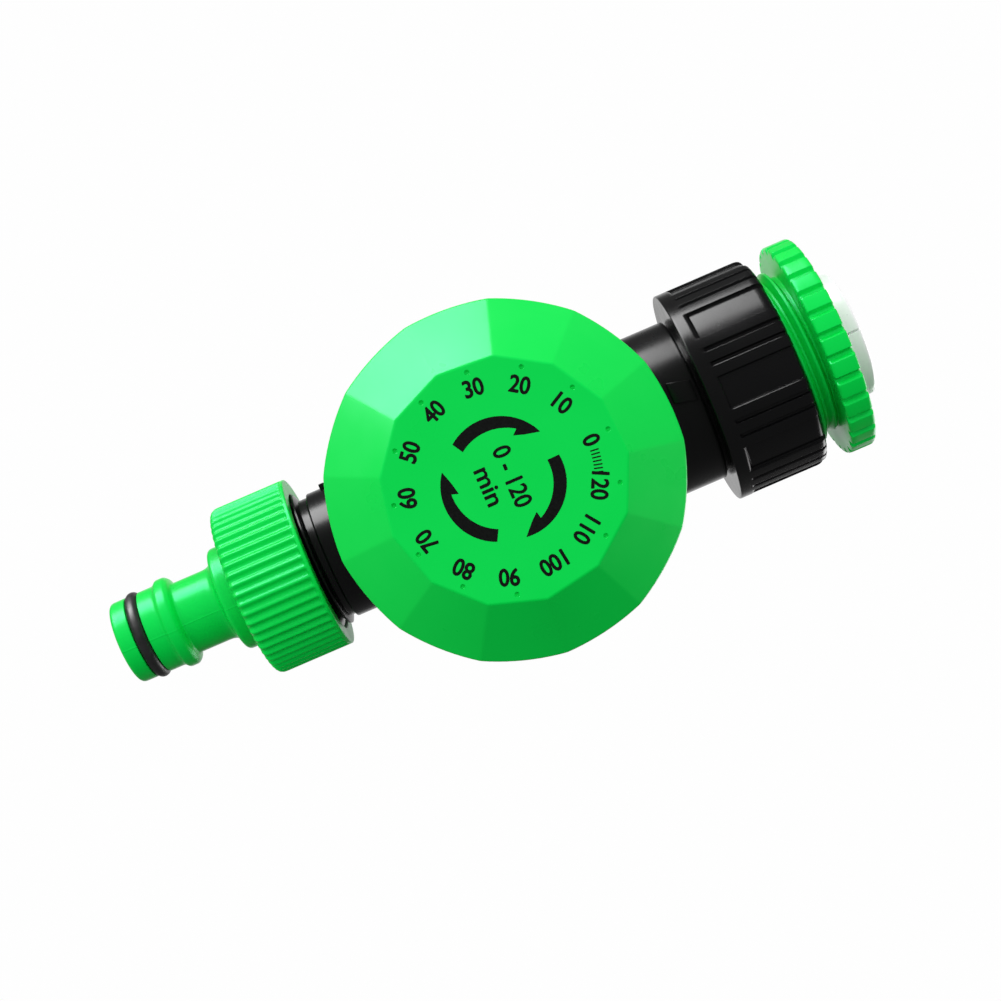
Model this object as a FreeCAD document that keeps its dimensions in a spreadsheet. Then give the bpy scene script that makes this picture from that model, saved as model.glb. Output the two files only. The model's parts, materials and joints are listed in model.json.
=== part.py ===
"""Wind-up drip irrigation timer that hangs from a garden tap.

The water path runs straight down the Z axis: the chromed tap reducer is at the top, the snap
nipple at the bottom. The dial faces -Y. The origin is the mouth of the tap thread.

Every piece is drawn in one of two local frames, both centred where the dial's axis crosses the
water path, tap_reach below the origin:
  "flow"  local Z runs up the water path, so a station is a height above the dial's axis
  "dial"  local X is to the right, Y up and Z out through the dial's face, seen from the front
"""
import FreeCAD, Part
import math
import os
import re
import sys
import Sketcher

sys.path.append(os.path.join(FreeCAD.getHomePath(), "Mod", "PartDesign"))
from fcgear import fcgear, involute

V = FreeCAD.Vector

# alias, value in mm (or degrees, or a count), meaning
DIMENSIONS = [
    # ---- water path, stations measured up from the dial's axis ----
    ("tap_reach", 69.6, "dial axis to the mouth of the tap thread"),
    ("nose_radius", 12.0, "chromed nose above the green ring"),
    ("tap_thread_minor", 9.3155, "G1/2 female thread, radius of its crests"),
    ("tap_thread_depth", 12.0, "length of the G1/2 thread"),
    ("reducer_radius", 13.0, "reducer inside the green adapter"),
    ("reducer_low", 53.5, "lower end of the reducer"),
    ("ring_high", 65.5, "upper face of the green ring"),
    ("ring_low", 60.5, "lower face of the green ring"),
    ("ring_radius", 20.75, "outside of the green ring"),
    ("ring_lands", 30, "grip lands round the green ring"),
    ("washer_thick", 2.0, "flat rubber washers of the inlet"),
    ("adapter_low", 49.5, "lower end of the adapter"),
    ("union_crest", 16.6, "G1 male thread, radius of its crests"),
    ("union_root", 15.15, "G1 male thread, radius of its roots"),
    ("union_pitch", 2.309, "G1 thread pitch"),
    ("nut_high", 56.2, "mouth of the inlet nut"),
    ("nut_low", 38.6, "lower face of the inlet nut"),
    ("nut_radius", 20.5, "outside of the inlet nut"),
    ("nut_panel_radius", 19.9, "panels between the nut's rib groups"),
    ("nut_band_high", 42.6, "top of the nut's plain band"),
    ("nut_groups", 8, "rib groups round the inlet nut"),
    ("lip_high", 42.0, "top of the lip that the nut hangs on"),
    ("ring_groove_radius", 13.4, "floor of the retaining ring's groove"),
    ("screen_radius", 9.8, "basket of the filter screen"),
    ("screen_low", 34.0, "bottom of the filter screen"),
    ("screen_flange_low", 45.6, "seat of the screen's flange"),
    ("neck_radius", 15.7, "inlet neck and valve chamber"),
    ("neck_high", 38.1, "top of the inlet neck"),
    ("spigot_radius", 14.5, "spigot inside the inlet nut"),
    ("spigot_high", 47.0, "top of the spigot"),
    ("inlet_bore", 10.5, "bore of the inlet neck"),
    ("running_gap", 0.08, "radial clearance of a running fit"),
    ("outlet_neck_radius", 11.65, "outlet neck above its thread"),
    ("outlet_crest", 13.1, "G3/4 male thread, radius of its crests"),
    ("outlet_root", 11.95, "G3/4 male thread, radius of its roots"),
    ("outlet_pitch", 1.814, "G3/4 thread pitch"),
    ("outlet_low", 47.6, "lower end of the outlet neck, below the axis"),
    ("outlet_bore", 8.6, "bore of the outlet neck"),
    ("outlet_nut_radius", 16.6, "outside of the outlet nut"),
    ("outlet_nut_mouth", 38.3, "mouth of the outlet nut, below the axis"),
    ("outlet_nut_low", 53.3, "lower face of the outlet nut, below the axis"),
    ("outlet_nut_ribs", 54, "grip ribs round the outlet nut"),
    ("nipple_low", 77.6, "tip of the nipple, below the axis"),
    ("nipple_shoulder", 10.1, "shoulder that turns in the outlet nut"),
    ("nipple_neck", 7.0, "neck that the hose connector's latch grips"),
    ("nipple_collar", 8.75, "latch collar"),
    ("nipple_land", 7.95, "lands each side of the O-ring"),
    ("nipple_bore", 5.5, "bore of the nipple"),
    ("nipple_flange", 12.0, "flange that the nut clamps"),
    ("collar_high", 65.7, "upper side of the latch collar, below the axis"),
    ("collar_low", 68.6, "lower side of the latch collar, below the axis"),
    ("groove_high", 71.9, "upper side of the O-ring's groove, below the axis"),
    ("groove_low", 74.4, "lower side of the O-ring's groove, below the axis"),
    ("groove_radius", 6.1, "floor of the O-ring's groove"),
    ("outlet_washer_thick", 1.6, "washer between the outlet and the nipple"),
    # ---- casing, heights measured forward from the water path ----
    ("case_radius", 29.0, "outside of the round case"),
    ("case_inner", 27.0, "inside of the round case"),
    ("case_front", 18.5, "front rim of the case"),
    ("case_back", -20.5, "back rim of the case"),
    ("floor_low", 14.0, "back of the floor under the movement"),
    ("floor_high", 16.2, "front of the floor under the movement"),
    ("cover_thick", 2.0, "rear cover"),
    ("chamber_wall_radius", 13.5, "wall round the valve chamber"),
    ("cap_level", -16.8, "floor of the valve cap, where the spring sits"),
    ("cover_screw_ring", 23.4, "radius of the rear cover's screw circle"),
    ("movement_screw_ring", 23.6, "radius of the movement's screw circle"),
    ("chamber_radius", 10.5, "valve chamber behind the seat"),
    ("seat_radius", 5.0, "water way through the seat"),
    ("seat_level", -3.6, "sealing lip of the seat"),
    ("bonnet_radius", 10.95, "bonnet that closes the chamber in front"),
    ("bonnet_low", 5.8, "back of the bonnet"),
    ("valve_lift", 2.4, "travel of the plunger"),
    ("stem_radius", 1.9, "plunger stem"),
    ("cam_level", 15.0, "foot of the cam's ramp"),
    ("pad_level", 11.4, "back of the plunger's cross bar"),
    ("disc_thick", 2.0, "rubber valve disc"),
    ("spring_wire", 0.35, "radius of the valve spring's wire"),
    ("spring_coil", 4.6, "radius of the valve spring's coils"),
    ("spring_pitch", 1.55, "pitch of the valve spring"),
    # ---- dial ----
    ("dial_sides", 13, "facets of the dial, one for each ten minutes from 0 to 120"),
    ("dial_face_radius", 21.1, "corners of the flat face"),
    ("dial_edge_radius", 31.6, "corners of the outer edge"),
    ("dial_edge_bulge", 44.9, "radius of each bowed outer edge"),
    ("dial_face", 38.0, "height of the flat face"),
    ("dial_edge", 28.0, "height of the outer edge"),
    ("dial_back", 16.5, "back of the skirt"),
    ("dial_ridge_angle", 79.5, "angle of the first ridge, seen from the front"),
    ("dial_wall", 2.2, "wall of the dial"),
    ("hub_radius", 4.6, "hub of the dial"),
    ("hub_low", 31.6, "back of the hub"),
    ("shaft_flat", 1.9, "flat on the shaft, from its axis"),
    ("dimple_ring", 19.2, "radius of the circle of dimples"),
    # ---- movement ----
    ("gear_module", 0.4, "module of every gear"),
    ("gear_pressure_angle", 28, "pressure angle, large because the pinions are small"),
    ("main_teeth", 45, "main wheel"),
    ("wheel_teeth", 36, "second and third wheels"),
    ("pinion_teeth", 10, "every pinion"),
    ("gear_slack", 0.08, "extra centre distance that gives the backlash"),
    ("plate_radius", 19.0, "movement plates"),
    ("plate_thick", 1.0, "movement plates"),
    ("front_plate_low", 30.2, "back of the front plate"),
    ("arbor_radius", 0.5, "arbors of the train"),
    ("arbor_seat", 1.0, "seat of each wheel on its arbor"),
    ("shaft_radius", 2.5, "dial shaft"),
    ("shaft_collar", 3.4, "collars on the dial shaft"),
    ("pillar_ring", 17.2, "radius of the pillar circle"),
    ("pallet_spacing", 6.2, "escape arbor to pallet arbor"),
    ("spring_low", 17.8, "back of the mainspring"),
    ("spring_width", 4.0, "width of the mainspring"),
    ("spring_outer", 8.45, "outer coil of the mainspring"),
    ("cover_wall_radius", 20.4, "outside of the movement's dust cover"),
    ("cover_high", 33.2, "front of the movement's dust cover"),
]

doc = FreeCAD.newDocument("IrrigationTimer")
sheet = doc.addObject("Spreadsheet::Sheet", "Size")
for row, (alias, number, meaning) in enumerate(DIMENSIONS, start=1):
    sheet.set(f"A{row}", str(number))
    sheet.setAlias(f"A{row}", alias)
    sheet.set(f"B{row}", meaning)
doc.recompute()

ALIASES = {alias for alias, number, meaning in DIMENSIONS}
PARTS = []
QUARTER_TURN = FreeCAD.Rotation(V(1, 0, 0), 90)
FRAMES = {
    "flow": FreeCAD.Rotation(),
    "dial": QUARTER_TURN,
}


# ------------------------------------------------------------------ expressions

def bound(text):
    """The expression with each alias written as a cell of the sheet."""
    def cell(match):
        word = match.group()
        return f"Size.{word}" if word in ALIASES else word
    return re.sub(r"[a-z][a-z_]*", cell, str(text))


def value(text):
    """The number that an expression gives now."""
    return float(sheet.evalExpression(bound(text)))


def bind(thing, **properties):
    """Bind each named property of a document object to its expression."""
    for name, text in properties.items():
        thing.setExpression(name.replace("__", "."), bound(text))


# ------------------------------------------------------------------ bodies and features

def finished(thing, label):
    """Register one sub-part under the name of its file."""
    thing.Label = label
    PARTS.append(thing)
    return thing


def place(thing, frame, x="0", y="0", turn=0.0):
    """Put a sub-part's local frame where the dial's axis crosses the water path."""
    local = FreeCAD.Placement(V(), FreeCAD.Rotation(V(0, 0, 1), turn))
    thing.Placement = FreeCAD.Placement(V(), FRAMES[frame]) * local
    across = {"Placement__Base__x": x}
    if frame == "dial":
        across["Placement__Base__z"] = f"{y} - tap_reach"
    else:
        across["Placement__Base__y"] = y
        across["Placement__Base__z"] = "-tap_reach"
    bind(thing, **across)
    return thing


def new_body(label, frame, x="0", y="0"):
    body = doc.addObject("PartDesign::Body", "Body_" + label)
    place(body, frame, x, y)
    return finished(body, label)


def origin_feature(body, role):
    return next(item for item in body.Origin.OriginFeatures if item.Role == role)


def outline(body, points, plane="XZ_Plane", bulge=None, offset="0"):
    """A closed sketch through points given as pairs of expressions; bulge bows every side."""
    sketch = body.newObject("Sketcher::SketchObject", "Sketch")
    sketch.AttachmentSupport = [(origin_feature(body, plane), "")]
    sketch.MapMode = "FlatFace"
    bind(sketch, AttachmentOffset__Base__z=offset)
    corners = [V(value(across), value(up), 0) for across, up in points]
    sides = list(zip(corners, corners[1:] + corners[:1]))
    for start, end in sides:
        if bulge:
            middle = (start + end) * 0.5
            rise = value(bulge) - math.sqrt(value(bulge) ** 2 - (middle - start).Length ** 2)
            outwards = V(middle).normalize()
            sketch.addGeometry(Part.Arc(start, middle + outwards * rise, end))
        else:
            sketch.addGeometry(Part.LineSegment(start, end))
    count = len(points)
    for side in range(count):
        sketch.addConstraint(Sketcher.Constraint("Coincident", side, 2, (side + 1) % count, 1))
    for side, (across, up) in enumerate(points):
        corner = corners[side]
        for kind, text, number in (("DistanceX", across, corner.x), ("DistanceY", up, corner.y)):
            index = sketch.addConstraint(Sketcher.Constraint(kind, -1, 1, side, 1, number))
            sketch.setExpression(f"Constraints[{index}]", bound(text))
        if bulge:
            index = sketch.addConstraint(Sketcher.Constraint("Radius", side, value(bulge)))
            sketch.setExpression(f"Constraints[{index}]", bound(bulge))
    return sketch


def turned(body, points, cut=False, plane="XZ_Plane"):
    """Turn an outline round the sketch's upright axis, to add or to cut."""
    sketch = outline(body, points, plane)
    feature = body.newObject("PartDesign::Groove" if cut else "PartDesign::Revolution", "Turned")
    feature.Profile = sketch
    feature.ReferenceAxis = (sketch, ["V_Axis"])
    feature.Angle = 360
    return feature


def raised(body, points, low, height, cut=False, bulge=None):
    """Raise an outline drawn across local Z from low, to add or to cut."""
    sketch = outline(body, points, "XY_Plane", bulge, offset=low)
    feature = body.newObject("PartDesign::Pocket" if cut else "PartDesign::Pad", "Raised")
    feature.Profile = sketch
    feature.Reversed = cut
    bind(feature, Length=height)
    return feature


def primitive(body, kind, cut, axis, across, up, start, **sizes):
    """A cylinder or box inside a body, along local Z, or along the dial's axis in a flow frame."""
    feature = body.newObject(f"PartDesign::{'Subtractive' if cut else 'Additive'}{kind}", kind)
    if axis == "dial":
        feature.Placement = FreeCAD.Placement(V(), QUARTER_TURN)
        bind(feature, Placement__Base__x=across, Placement__Base__z=up, Placement__Base__y=f"-({start})")
    else:
        bind(feature, Placement__Base__x=across, Placement__Base__y=up, Placement__Base__z=start)
    bind(feature, **sizes)
    return feature


def post(body, radius, start, end, across="0", up="0", cut=False, axis="own"):
    length = f"({end}) - ({start})"
    return primitive(body, "Cylinder", cut, axis, across, up, start, Radius=radius, Height=length)


def block(body, across, up, along, cut=False, axis="own"):
    """A box between three pairs of expressions."""
    sizes = {}
    for name, (low, high) in zip(("Length", "Width", "Height"), (across, up, along)):
        sizes[name] = f"({high}) - ({low})"
    return primitive(body, "Box", cut, axis, across[0], up[0], along[0], **sizes)


def repeated(body, features, count):
    """Repeat features evenly round the local Z axis."""
    pattern = body.newObject("PartDesign::PolarPattern", "Repeated")
    pattern.Originals = features
    pattern.Axis = (origin_feature(body, "Z_Axis"), [""])
    pattern.Angle = 360
    bind(pattern, Occurrences=count)
    body.Tip = pattern
    return pattern


def turned_part(label, frame, points):
    body = new_body(label, frame)
    turned(body, points)
    return body


def ring_part(label, frame, inner, outer, low, high):
    return turned_part(label, frame, [(inner, low), (outer, low), (outer, high), (inner, high)])


def seal_part(label, frame, centre_radius, section_radius, level):
    """An O-ring round the frame's axis."""
    ring = doc.addObject("Part::Torus", "Seal_" + label)
    place(ring, frame)
    bind(ring, Radius1=centre_radius, Radius2=section_radius)
    if frame == "dial":
        bind(ring, Placement__Base__y=f"-({level})")
    else:
        bind(ring, Placement__Base__z=f"{level} - tap_reach")
    return finished(ring, label)


def shape_part(label, shape, frame, x="0", y="0", turn=0.0):
    """A sub-part whose shape no feature makes: gears, springs and the cam's ramp."""
    thing = doc.addObject("Part::Feature", "Shape_" + label)
    thing.Shape = shape
    place(thing, frame, x, y, turn)
    return finished(thing, label)


# ------------------------------------------------------------------ outlines

def on_circle(radius, degrees):
    return (f"({radius}) * cos({degrees} * 1 deg)", f"({radius}) * sin({degrees} * 1 deg)")


def sector(inner, outer, start, end, steps=4):
    """A piece of a ring between two angles."""
    angles = [start + (end - start) * step / steps for step in range(steps + 1)]
    out = [on_circle(outer, angle) for angle in angles]
    back = [on_circle(inner, angle) for angle in reversed(angles)]
    return out + back


def rounded_corner(radius, station, size, towards, up, steps=5):
    """Points round a quarter circle from the side of a turned piece to its end, or back."""
    angles = [90.0 * step / steps for step in range(steps + 1)]
    if towards == "side":
        angles.reverse()
    corner = []
    for angle in angles:
        inwards = f"{radius} - {size} * (1 - cos({angle} * 1 deg))"
        along = f"{station} {'-' if up else '+'} {size} * (1 - sin({angle} * 1 deg))"
        corner.append((inwards, along))
    return corner


def thread_up(root, crest, start, pitch, turns):
    """Ridges of a male thread, drawn as rings, from the bottom up."""
    points = []
    for ridge in range(turns):
        for share, radius in ((0.1, root), (0.4, crest), (0.6, crest), (0.9, root)):
            points.append((radius, f"{start} + {ridge + share} * {pitch}"))
    return points


def thread_down(root, crest, start, pitch, turns):
    """Ridges of a female thread that sit half a pitch from the male ones, from the top down."""
    points = []
    for ridge in reversed(range(turns)):
        for share, radius in ((0.86, root), (0.6, crest), (0.4, crest), (0.14, root)):
            points.append((radius, f"{start} + {ridge + share} * {pitch}"))
    return points


# ------------------------------------------------------------------ inlet coupling

def tap_reducer():
    """Chromed reducer that the tap screws into."""
    turned_part("tap_reducer", "flow", [
        ("7", "reducer_low"),
        ("reducer_radius", "reducer_low"),
        ("reducer_radius", "ring_high - 1.2"),
        ("nose_radius", "ring_high - 0.4"),
        ("nose_radius", "tap_reach - 0.6"),
        ("nose_radius - 0.6", "tap_reach"),
        ("tap_thread_minor", "tap_reach"),
        ("tap_thread_minor", "tap_reach - tap_thread_depth"),
        ("9.9", "tap_reach - tap_thread_depth"),
        ("9.9", "reducer_low + 2"),
        ("7", "reducer_low + 2"),
    ])
    ring_part("tap_washer", "flow", "6", "9.7", "reducer_low + 2", "reducer_low + 2 + washer_thick")


def thread_adapter():
    """Green adapter: male union thread below a gripping ring."""
    body = turned_part("thread_adapter", "flow", [
        ("9.5", "adapter_low"),
        ("union_root", "adapter_low"),
        *thread_up("union_root", "union_crest", "ring_low - 0.25 - 4.5 * union_pitch", "union_pitch", 4),
        ("union_root", "ring_low"),
        *rounded_corner("ring_radius", "ring_low", "0.7", "side", up=False),
        *rounded_corner("ring_radius", "ring_high", "0.7", "end", up=True),
        ("reducer_radius + 0.1", "ring_high"),
        ("reducer_radius + 0.1", "reducer_low - washer_thick"),
        ("9.5", "reducer_low - washer_thick"),
    ])
    first_groove = -81.3
    half_groove = 1.5
    groove = raised(
        body,
        sector("ring_radius - 0.7", "ring_radius + 1", first_groove - half_groove,
               first_groove + half_groove),
        "ring_low - 0.5", "ring_high - ring_low + 1", cut=True,
    )
    repeated(body, [groove], "ring_lands")
    ring_part("reducer_washer", "flow", "8.8", "12.8", "reducer_low - washer_thick", "reducer_low")


def inlet_nut():
    """Union nut that hangs on the spigot's retaining ring."""
    body = turned_part("inlet_nut", "flow", [
        ("spigot_radius + running_gap", "nut_low"),
        ("nut_radius - 0.4", "nut_low"),
        ("nut_radius", "nut_low + 0.4"),
        *rounded_corner("nut_radius", "nut_high", "1.7", "end", up=True),
        ("union_crest + 0.35", "nut_high"),
        *thread_down("union_crest + 0.25", "union_root + 0.2", "ring_low - 0.25 - 5 * union_pitch",
                     "union_pitch", 3),
        ("union_crest + 0.25", "lip_high"),
        ("spigot_radius + running_gap", "lip_high"),
    ])
    group = -61.8
    cuts = []
    for start, end in ((3.1, 5.1), (-5.1, -3.1), (11.3, 33.7)):
        cuts.append(raised(
            body,
            sector("nut_panel_radius", "nut_radius + 1", group + start, group + end, steps=6),
            "nut_band_high", "nut_high - nut_band_high + 1", cut=True,
        ))
    repeated(body, cuts, "nut_groups")
    ring_part("inlet_washer", "flow", "9.6", "spigot_radius + 0.4", "spigot_high", "adapter_low")


def swivel_ring():
    """Split ring in the spigot's groove that keeps the nut on."""
    body = ring_part("swivel_ring", "flow", "ring_groove_radius", "16.2", "lip_high + 0.4", "lip_high + 1.8")
    block(body, ("-1.2", "1.2"), ("12", "18"), ("lip_high", "lip_high + 3"), cut=True)


def filter_screen():
    """Basket strainer in the inlet bore."""
    body = turned_part("filter_screen", "flow", [
        ("0", "screen_low"),
        ("screen_radius", "screen_low"),
        ("screen_radius", "screen_flange_low"),
        ("12.5", "screen_flange_low"),
        ("12.5", "spigot_high - 0.2"),
        ("screen_radius - 0.6", "spigot_high - 0.2"),
        ("screen_radius - 0.6", "screen_low + 0.6"),
        ("0", "screen_low + 0.6"),
    ])
    window = block(body, ("-1.1", "1.1"), ("screen_radius - 1", "screen_radius + 1"),
                   ("screen_low + 1.6", "screen_flange_low - 1"), cut=True)
    repeated(body, [window], 16)


# ------------------------------------------------------------------ case and valve

def valve_body():
    """One moulding: inlet neck, valve chamber, outlet neck and the round case round them."""
    body = new_body("valve_body", "flow")
    turned(body, [
        ("0", "-outlet_low"),
        ("outlet_root - 0.3", "-outlet_low"),
        *thread_up("outlet_root", "outlet_crest", "-outlet_low + 0.2", "outlet_pitch", 6),
        ("outlet_neck_radius", "-outlet_low + 0.4 + 6 * outlet_pitch"),
        ("outlet_neck_radius", "-16"),
        ("neck_radius", "-13"),
        ("neck_radius", "neck_high - 0.5"),
        ("neck_radius - 0.5", "neck_high"),
        ("spigot_radius", "neck_high"),
        ("spigot_radius", "lip_high + 0.3"),
        ("ring_groove_radius", "lip_high + 0.3"),
        ("ring_groove_radius", "lip_high + 1.9"),
        ("spigot_radius", "lip_high + 1.9"),
        ("spigot_radius", "spigot_high - 0.4"),
        ("spigot_radius - 0.4", "spigot_high"),
        ("0", "spigot_high"),
    ])
    turned(body, [
        ("0", "-floor_low"),
        ("case_inner", "-floor_low"),
        ("case_inner", "-case_back"),
        ("case_radius - 0.6", "-case_back"),
        ("case_radius", "-case_back - 0.6"),
        ("case_radius", "-case_front + 0.6"),
        ("case_radius - 0.6", "-case_front"),
        ("case_inner", "-case_front"),
        ("case_inner", "-floor_high"),
        ("0", "-floor_high"),
    ], plane="XY_Plane")
    post(body, "chamber_wall_radius", "-18", "floor_low", axis="dial")
    for across, up in corner_places("cover_screw_ring", 45, 4):
        post(body, "3.9", "case_back + 2.1", "floor_low", across, up, axis="dial")
    for across, up in corner_places("movement_screw_ring", 0, 3):
        post(body, "2.6", "7", "floor_low", across, up, axis="dial")
    # key on the inlet neck and stop lug on the outlet neck
    block(body, ("-4.6", "0.4"), ("33", "37.2"), ("neck_radius - 3", "neck_radius + 0.7"), axis="dial")
    block(body, ("-12.5", "-10"), ("-32.8", "-31.4"), ("-1.5", "1.5"), axis="dial")
    # seat, valve chamber behind it and bonnet socket in front of it
    turned(body, [
        ("0", "18.5"),
        ("chamber_radius", "18.5"),
        ("chamber_radius", "-seat_level - 0.6"),
        ("seat_radius + 1", "-seat_level - 0.6"),
        ("seat_radius + 1", "-seat_level"),
        ("seat_radius", "-seat_level"),
        ("seat_radius", "1"),
        ("bonnet_radius + 0.05", "1"),
        ("bonnet_radius + 0.05", "-floor_high - 0.5"),
        ("0", "-floor_high - 0.5"),
    ], cut=True, plane="XY_Plane")
    post(body, "inlet_bore", "13", "spigot_high + 1", cut=True)
    post(body, "12.6", "screen_flange_low", "spigot_high + 1", cut=True)
    post(body, "outlet_bore", "-outlet_low - 1", "-13", cut=True)
    block(body, ("-6", "6"), ("8", "14"), ("-9.5", "seat_level"), cut=True, axis="dial")
    block(body, ("-5", "5"), ("-14", "-8"), ("-0.5", "bonnet_low - 0.8"), cut=True, axis="dial")
    for across, up in corner_places("cover_screw_ring", 45, 4):
        post(body, "1.1", "case_back", "-7", across, up, cut=True, axis="dial")
    for across, up in corner_places("movement_screw_ring", 0, 3):
        post(body, "1", "8.5", "floor_high + 1", across, up, cut=True, axis="dial")


def corner_places(radius, first_angle, count):
    """Places evenly spaced on a screw circle."""
    return [on_circle(radius, first_angle + 360 * index / count) for index in range(count)]


def rear_cover():
    body = turned_part("rear_cover", "dial", [
        ("0", "case_back"),
        ("0", "case_back - cover_thick"),
        *rounded_corner("case_radius", "case_back - cover_thick", "1.4", "side", up=False),
        ("case_radius", "case_back"),
        ("case_inner - 0.15", "case_back"),
        ("case_inner - 0.15", "case_back + 2"),
        ("case_inner - 1.8", "case_back + 2"),
        ("case_inner - 1.8", "case_back"),
    ])
    for across, up in corner_places("cover_screw_ring", 45, 4):
        post(body, "3.3", "case_back - 0.1", "case_back + 2", across, up)
    for across, up in corner_places("cover_screw_ring", 45, 4):
        post(body, "1.3", "case_back - cover_thick - 1", "case_back + 3", across, up, cut=True)
        post(body, "2.8", "case_back - cover_thick - 1", "case_back - 0.5", across, up, cut=True)


def screw_group(label, ring, first_angle, count, head, head_low, head_high, shank, tip, back=False):
    """Cross-head screws: each a separate solid in one node, along the dial's axis."""
    screws = []
    for across, up in corner_places(ring, first_angle, count):
        x, y = value(across), value(up)
        low, high, end = value(head_low), value(head_high), value(tip)
        top = Part.makeCylinder(head, high - low, V(x, y, low))
        rod_low, rod_high = (high, end) if back else (end, low)
        rod = Part.makeCylinder(shank, rod_high - rod_low, V(x, y, rod_low))
        face = low if back else high - 0.7
        slots = [
            Part.makeBox(2.6, 0.55, 0.7, V(x - 1.3, y - 0.275, face)),
            Part.makeBox(0.55, 2.6, 0.7, V(x - 0.275, y - 1.3, face)),
        ]
        screws.append(top.fuse(rod).cut(slots).removeSplitter())
    shape_part(label, Part.makeCompound(screws), "dial")


def valve_cap():
    """Plug behind the valve chamber, with the spring's seat and its seal."""
    turned_part("valve_cap", "dial", [
        ("0", "cap_level"),
        ("0", "cap_level - 2.6"),
        ("12.8", "cap_level - 2.6"),
        ("12.8", "cap_level - 1.2"),
        ("chamber_radius - 0.1", "cap_level - 1.2"),
        ("chamber_radius - 0.1", "cap_level - 0.8"),
        ("chamber_radius - 1.8", "cap_level - 0.8"),
        ("chamber_radius - 1.8", "cap_level + 1.1"),
        ("chamber_radius - 0.1", "cap_level + 1.1"),
        ("chamber_radius - 0.1", "cap_level + 1.9"),
        ("spring_coil + 1", "cap_level + 1.9"),
        ("spring_coil + 1", "cap_level"),
    ])
    seal_part("valve_cap_seal", "dial", "chamber_radius - 0.9", "0.9", "cap_level + 0.15")


def shaft_bonnet():
    """Bonnet between the wet chamber and the dry cam, with slots that guide the plunger's lugs."""
    body = turned_part("shaft_bonnet", "dial", [
        ("stem_radius + running_gap", "bonnet_low"),
        ("bonnet_radius", "bonnet_low"),
        ("bonnet_radius", "bonnet_low + 1.2"),
        ("9.2", "bonnet_low + 1.2"),
        ("9.2", "bonnet_low + 3"),
        ("bonnet_radius", "bonnet_low + 3"),
        ("bonnet_radius", "floor_high"),
        ("6.6", "floor_high"),
        ("6.6", "bonnet_low + 3"),
        ("stem_radius + running_gap", "bonnet_low + 3"),
        ("stem_radius + running_gap", "bonnet_low + 2.4"),
        ("3.8", "bonnet_low + 2.4"),
        ("3.8", "bonnet_low + 0.6"),
        ("stem_radius + running_gap", "bonnet_low + 0.6"),
    ])
    block(body, ("-7.5", "7.5"), ("-1.1", "1.1"), ("bonnet_low + 3", "floor_high + 1"), cut=True)
    seal_part("bonnet_seal", "dial", "bonnet_radius - 0.85", "0.9", "bonnet_low + 2.1")
    seal_part("plunger_seal", "dial", "2.85", "0.9", "bonnet_low + 1.5")


def plunger():
    """Stem, rubber valve disc, its backing cup and nut; the pad on its head follows the cam."""
    body = turned_part("plunger", "dial", [
        ("0", "-9.2"),
        ("1.2", "-9.2"),
        ("1.2", "seat_level - 0.05"),
        ("stem_radius", "seat_level - 0.05"),
        ("stem_radius", "pad_level"),
        ("5.2", "pad_level"),
        ("5.2", "pad_level + 1"),
        ("0", "pad_level + 1"),
    ])
    block(body, ("-7.2", "7.2"), ("-0.9", "0.9"), ("pad_level", "pad_level + 1"))
    post(body, "1", "pad_level + 0.6", "cam_level - 0.3", "0", "4")
    ring_part("valve_disc", "dial", "1.2", "7", "seat_level - disc_thick - 0.05", "seat_level - 0.05")
    ring_part("disc_holder", "dial", "1.2", "7.4", "seat_level - 3.6", "seat_level - disc_thick - 0.05")
    nut = new_body("disc_nut", "dial")
    raised(nut, [on_circle("2.7", 60 * corner) for corner in range(6)], "seat_level - 5.2", "1.6")
    post(nut, "1.2", "seat_level - 6", "seat_level - 3", cut=True)


def valve_spring():
    """Compression spring that closes the valve, lofted through eight-sided sections of its wire."""
    wire = value("spring_wire")
    coil = value("spring_coil")
    low = value("cap_level") + wire
    high = value("seat_level - 3.6") - wire
    turns = (high - low) / value("spring_pitch")
    steps = round(turns * 24)
    sections = []
    for step in range(steps + 1):
        angle = 2 * math.pi * turns * step / steps
        level = low + (high - low) * step / steps
        corners = []
        for corner in range(8):
            around = math.pi * corner / 4
            radius = coil + wire * math.cos(around)
            height = level + wire * math.sin(around)
            corners.append(V(radius * math.cos(angle), radius * math.sin(angle), height))
        sections.append(Part.makePolygon(corners + corners[:1]))
    shape_part("valve_spring", Part.makeLoft(sections, True, True), "dial")


def lift_cam():
    """Face cam on the shaft: a ramp that pushes the plunger back as the dial is wound."""
    level = value("cam_level")
    bore = value("shaft_radius")
    sweep = 340
    dial_travel = 360.0 * 12 / 13
    sections = []
    for degrees in range(0, sweep + 1, 10):
        drop = 0.02 + value("valve_lift") * degrees / dial_travel
        radians = math.radians(90 + degrees)
        corners = []
        for radius, depth in ((2.9, 0), (5.4, 0), (5.4, drop), (2.9, drop)):
            corners.append(V(radius * math.cos(radians), radius * math.sin(radians), level - depth))
        sections.append(Part.makePolygon(corners + corners[:1]))
    ramp = Part.makeLoft(sections, True, True)
    disc = Part.makeCylinder(5.8, 0.9, V(0, 0, level)).cut(Part.makeCylinder(bore, 0.9, V(0, 0, level)))
    shape_part("lift_cam", disc.fuse(ramp), "dial")


# ------------------------------------------------------------------ movement

def gear_blank(teeth, low, thick):
    """A spur gear with involute teeth, one of them pointing along local X."""
    builder = fcgear.FCWireBuilder()
    involute.CreateExternalGear(builder, value("gear_module"), teeth, value("gear_pressure_angle"), True)
    face = Part.Face(Part.Wire([edge.toShape() for edge in builder.wire]))
    face.translate(V(0, 0, low))
    return face.extrude(V(0, 0, thick))


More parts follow.
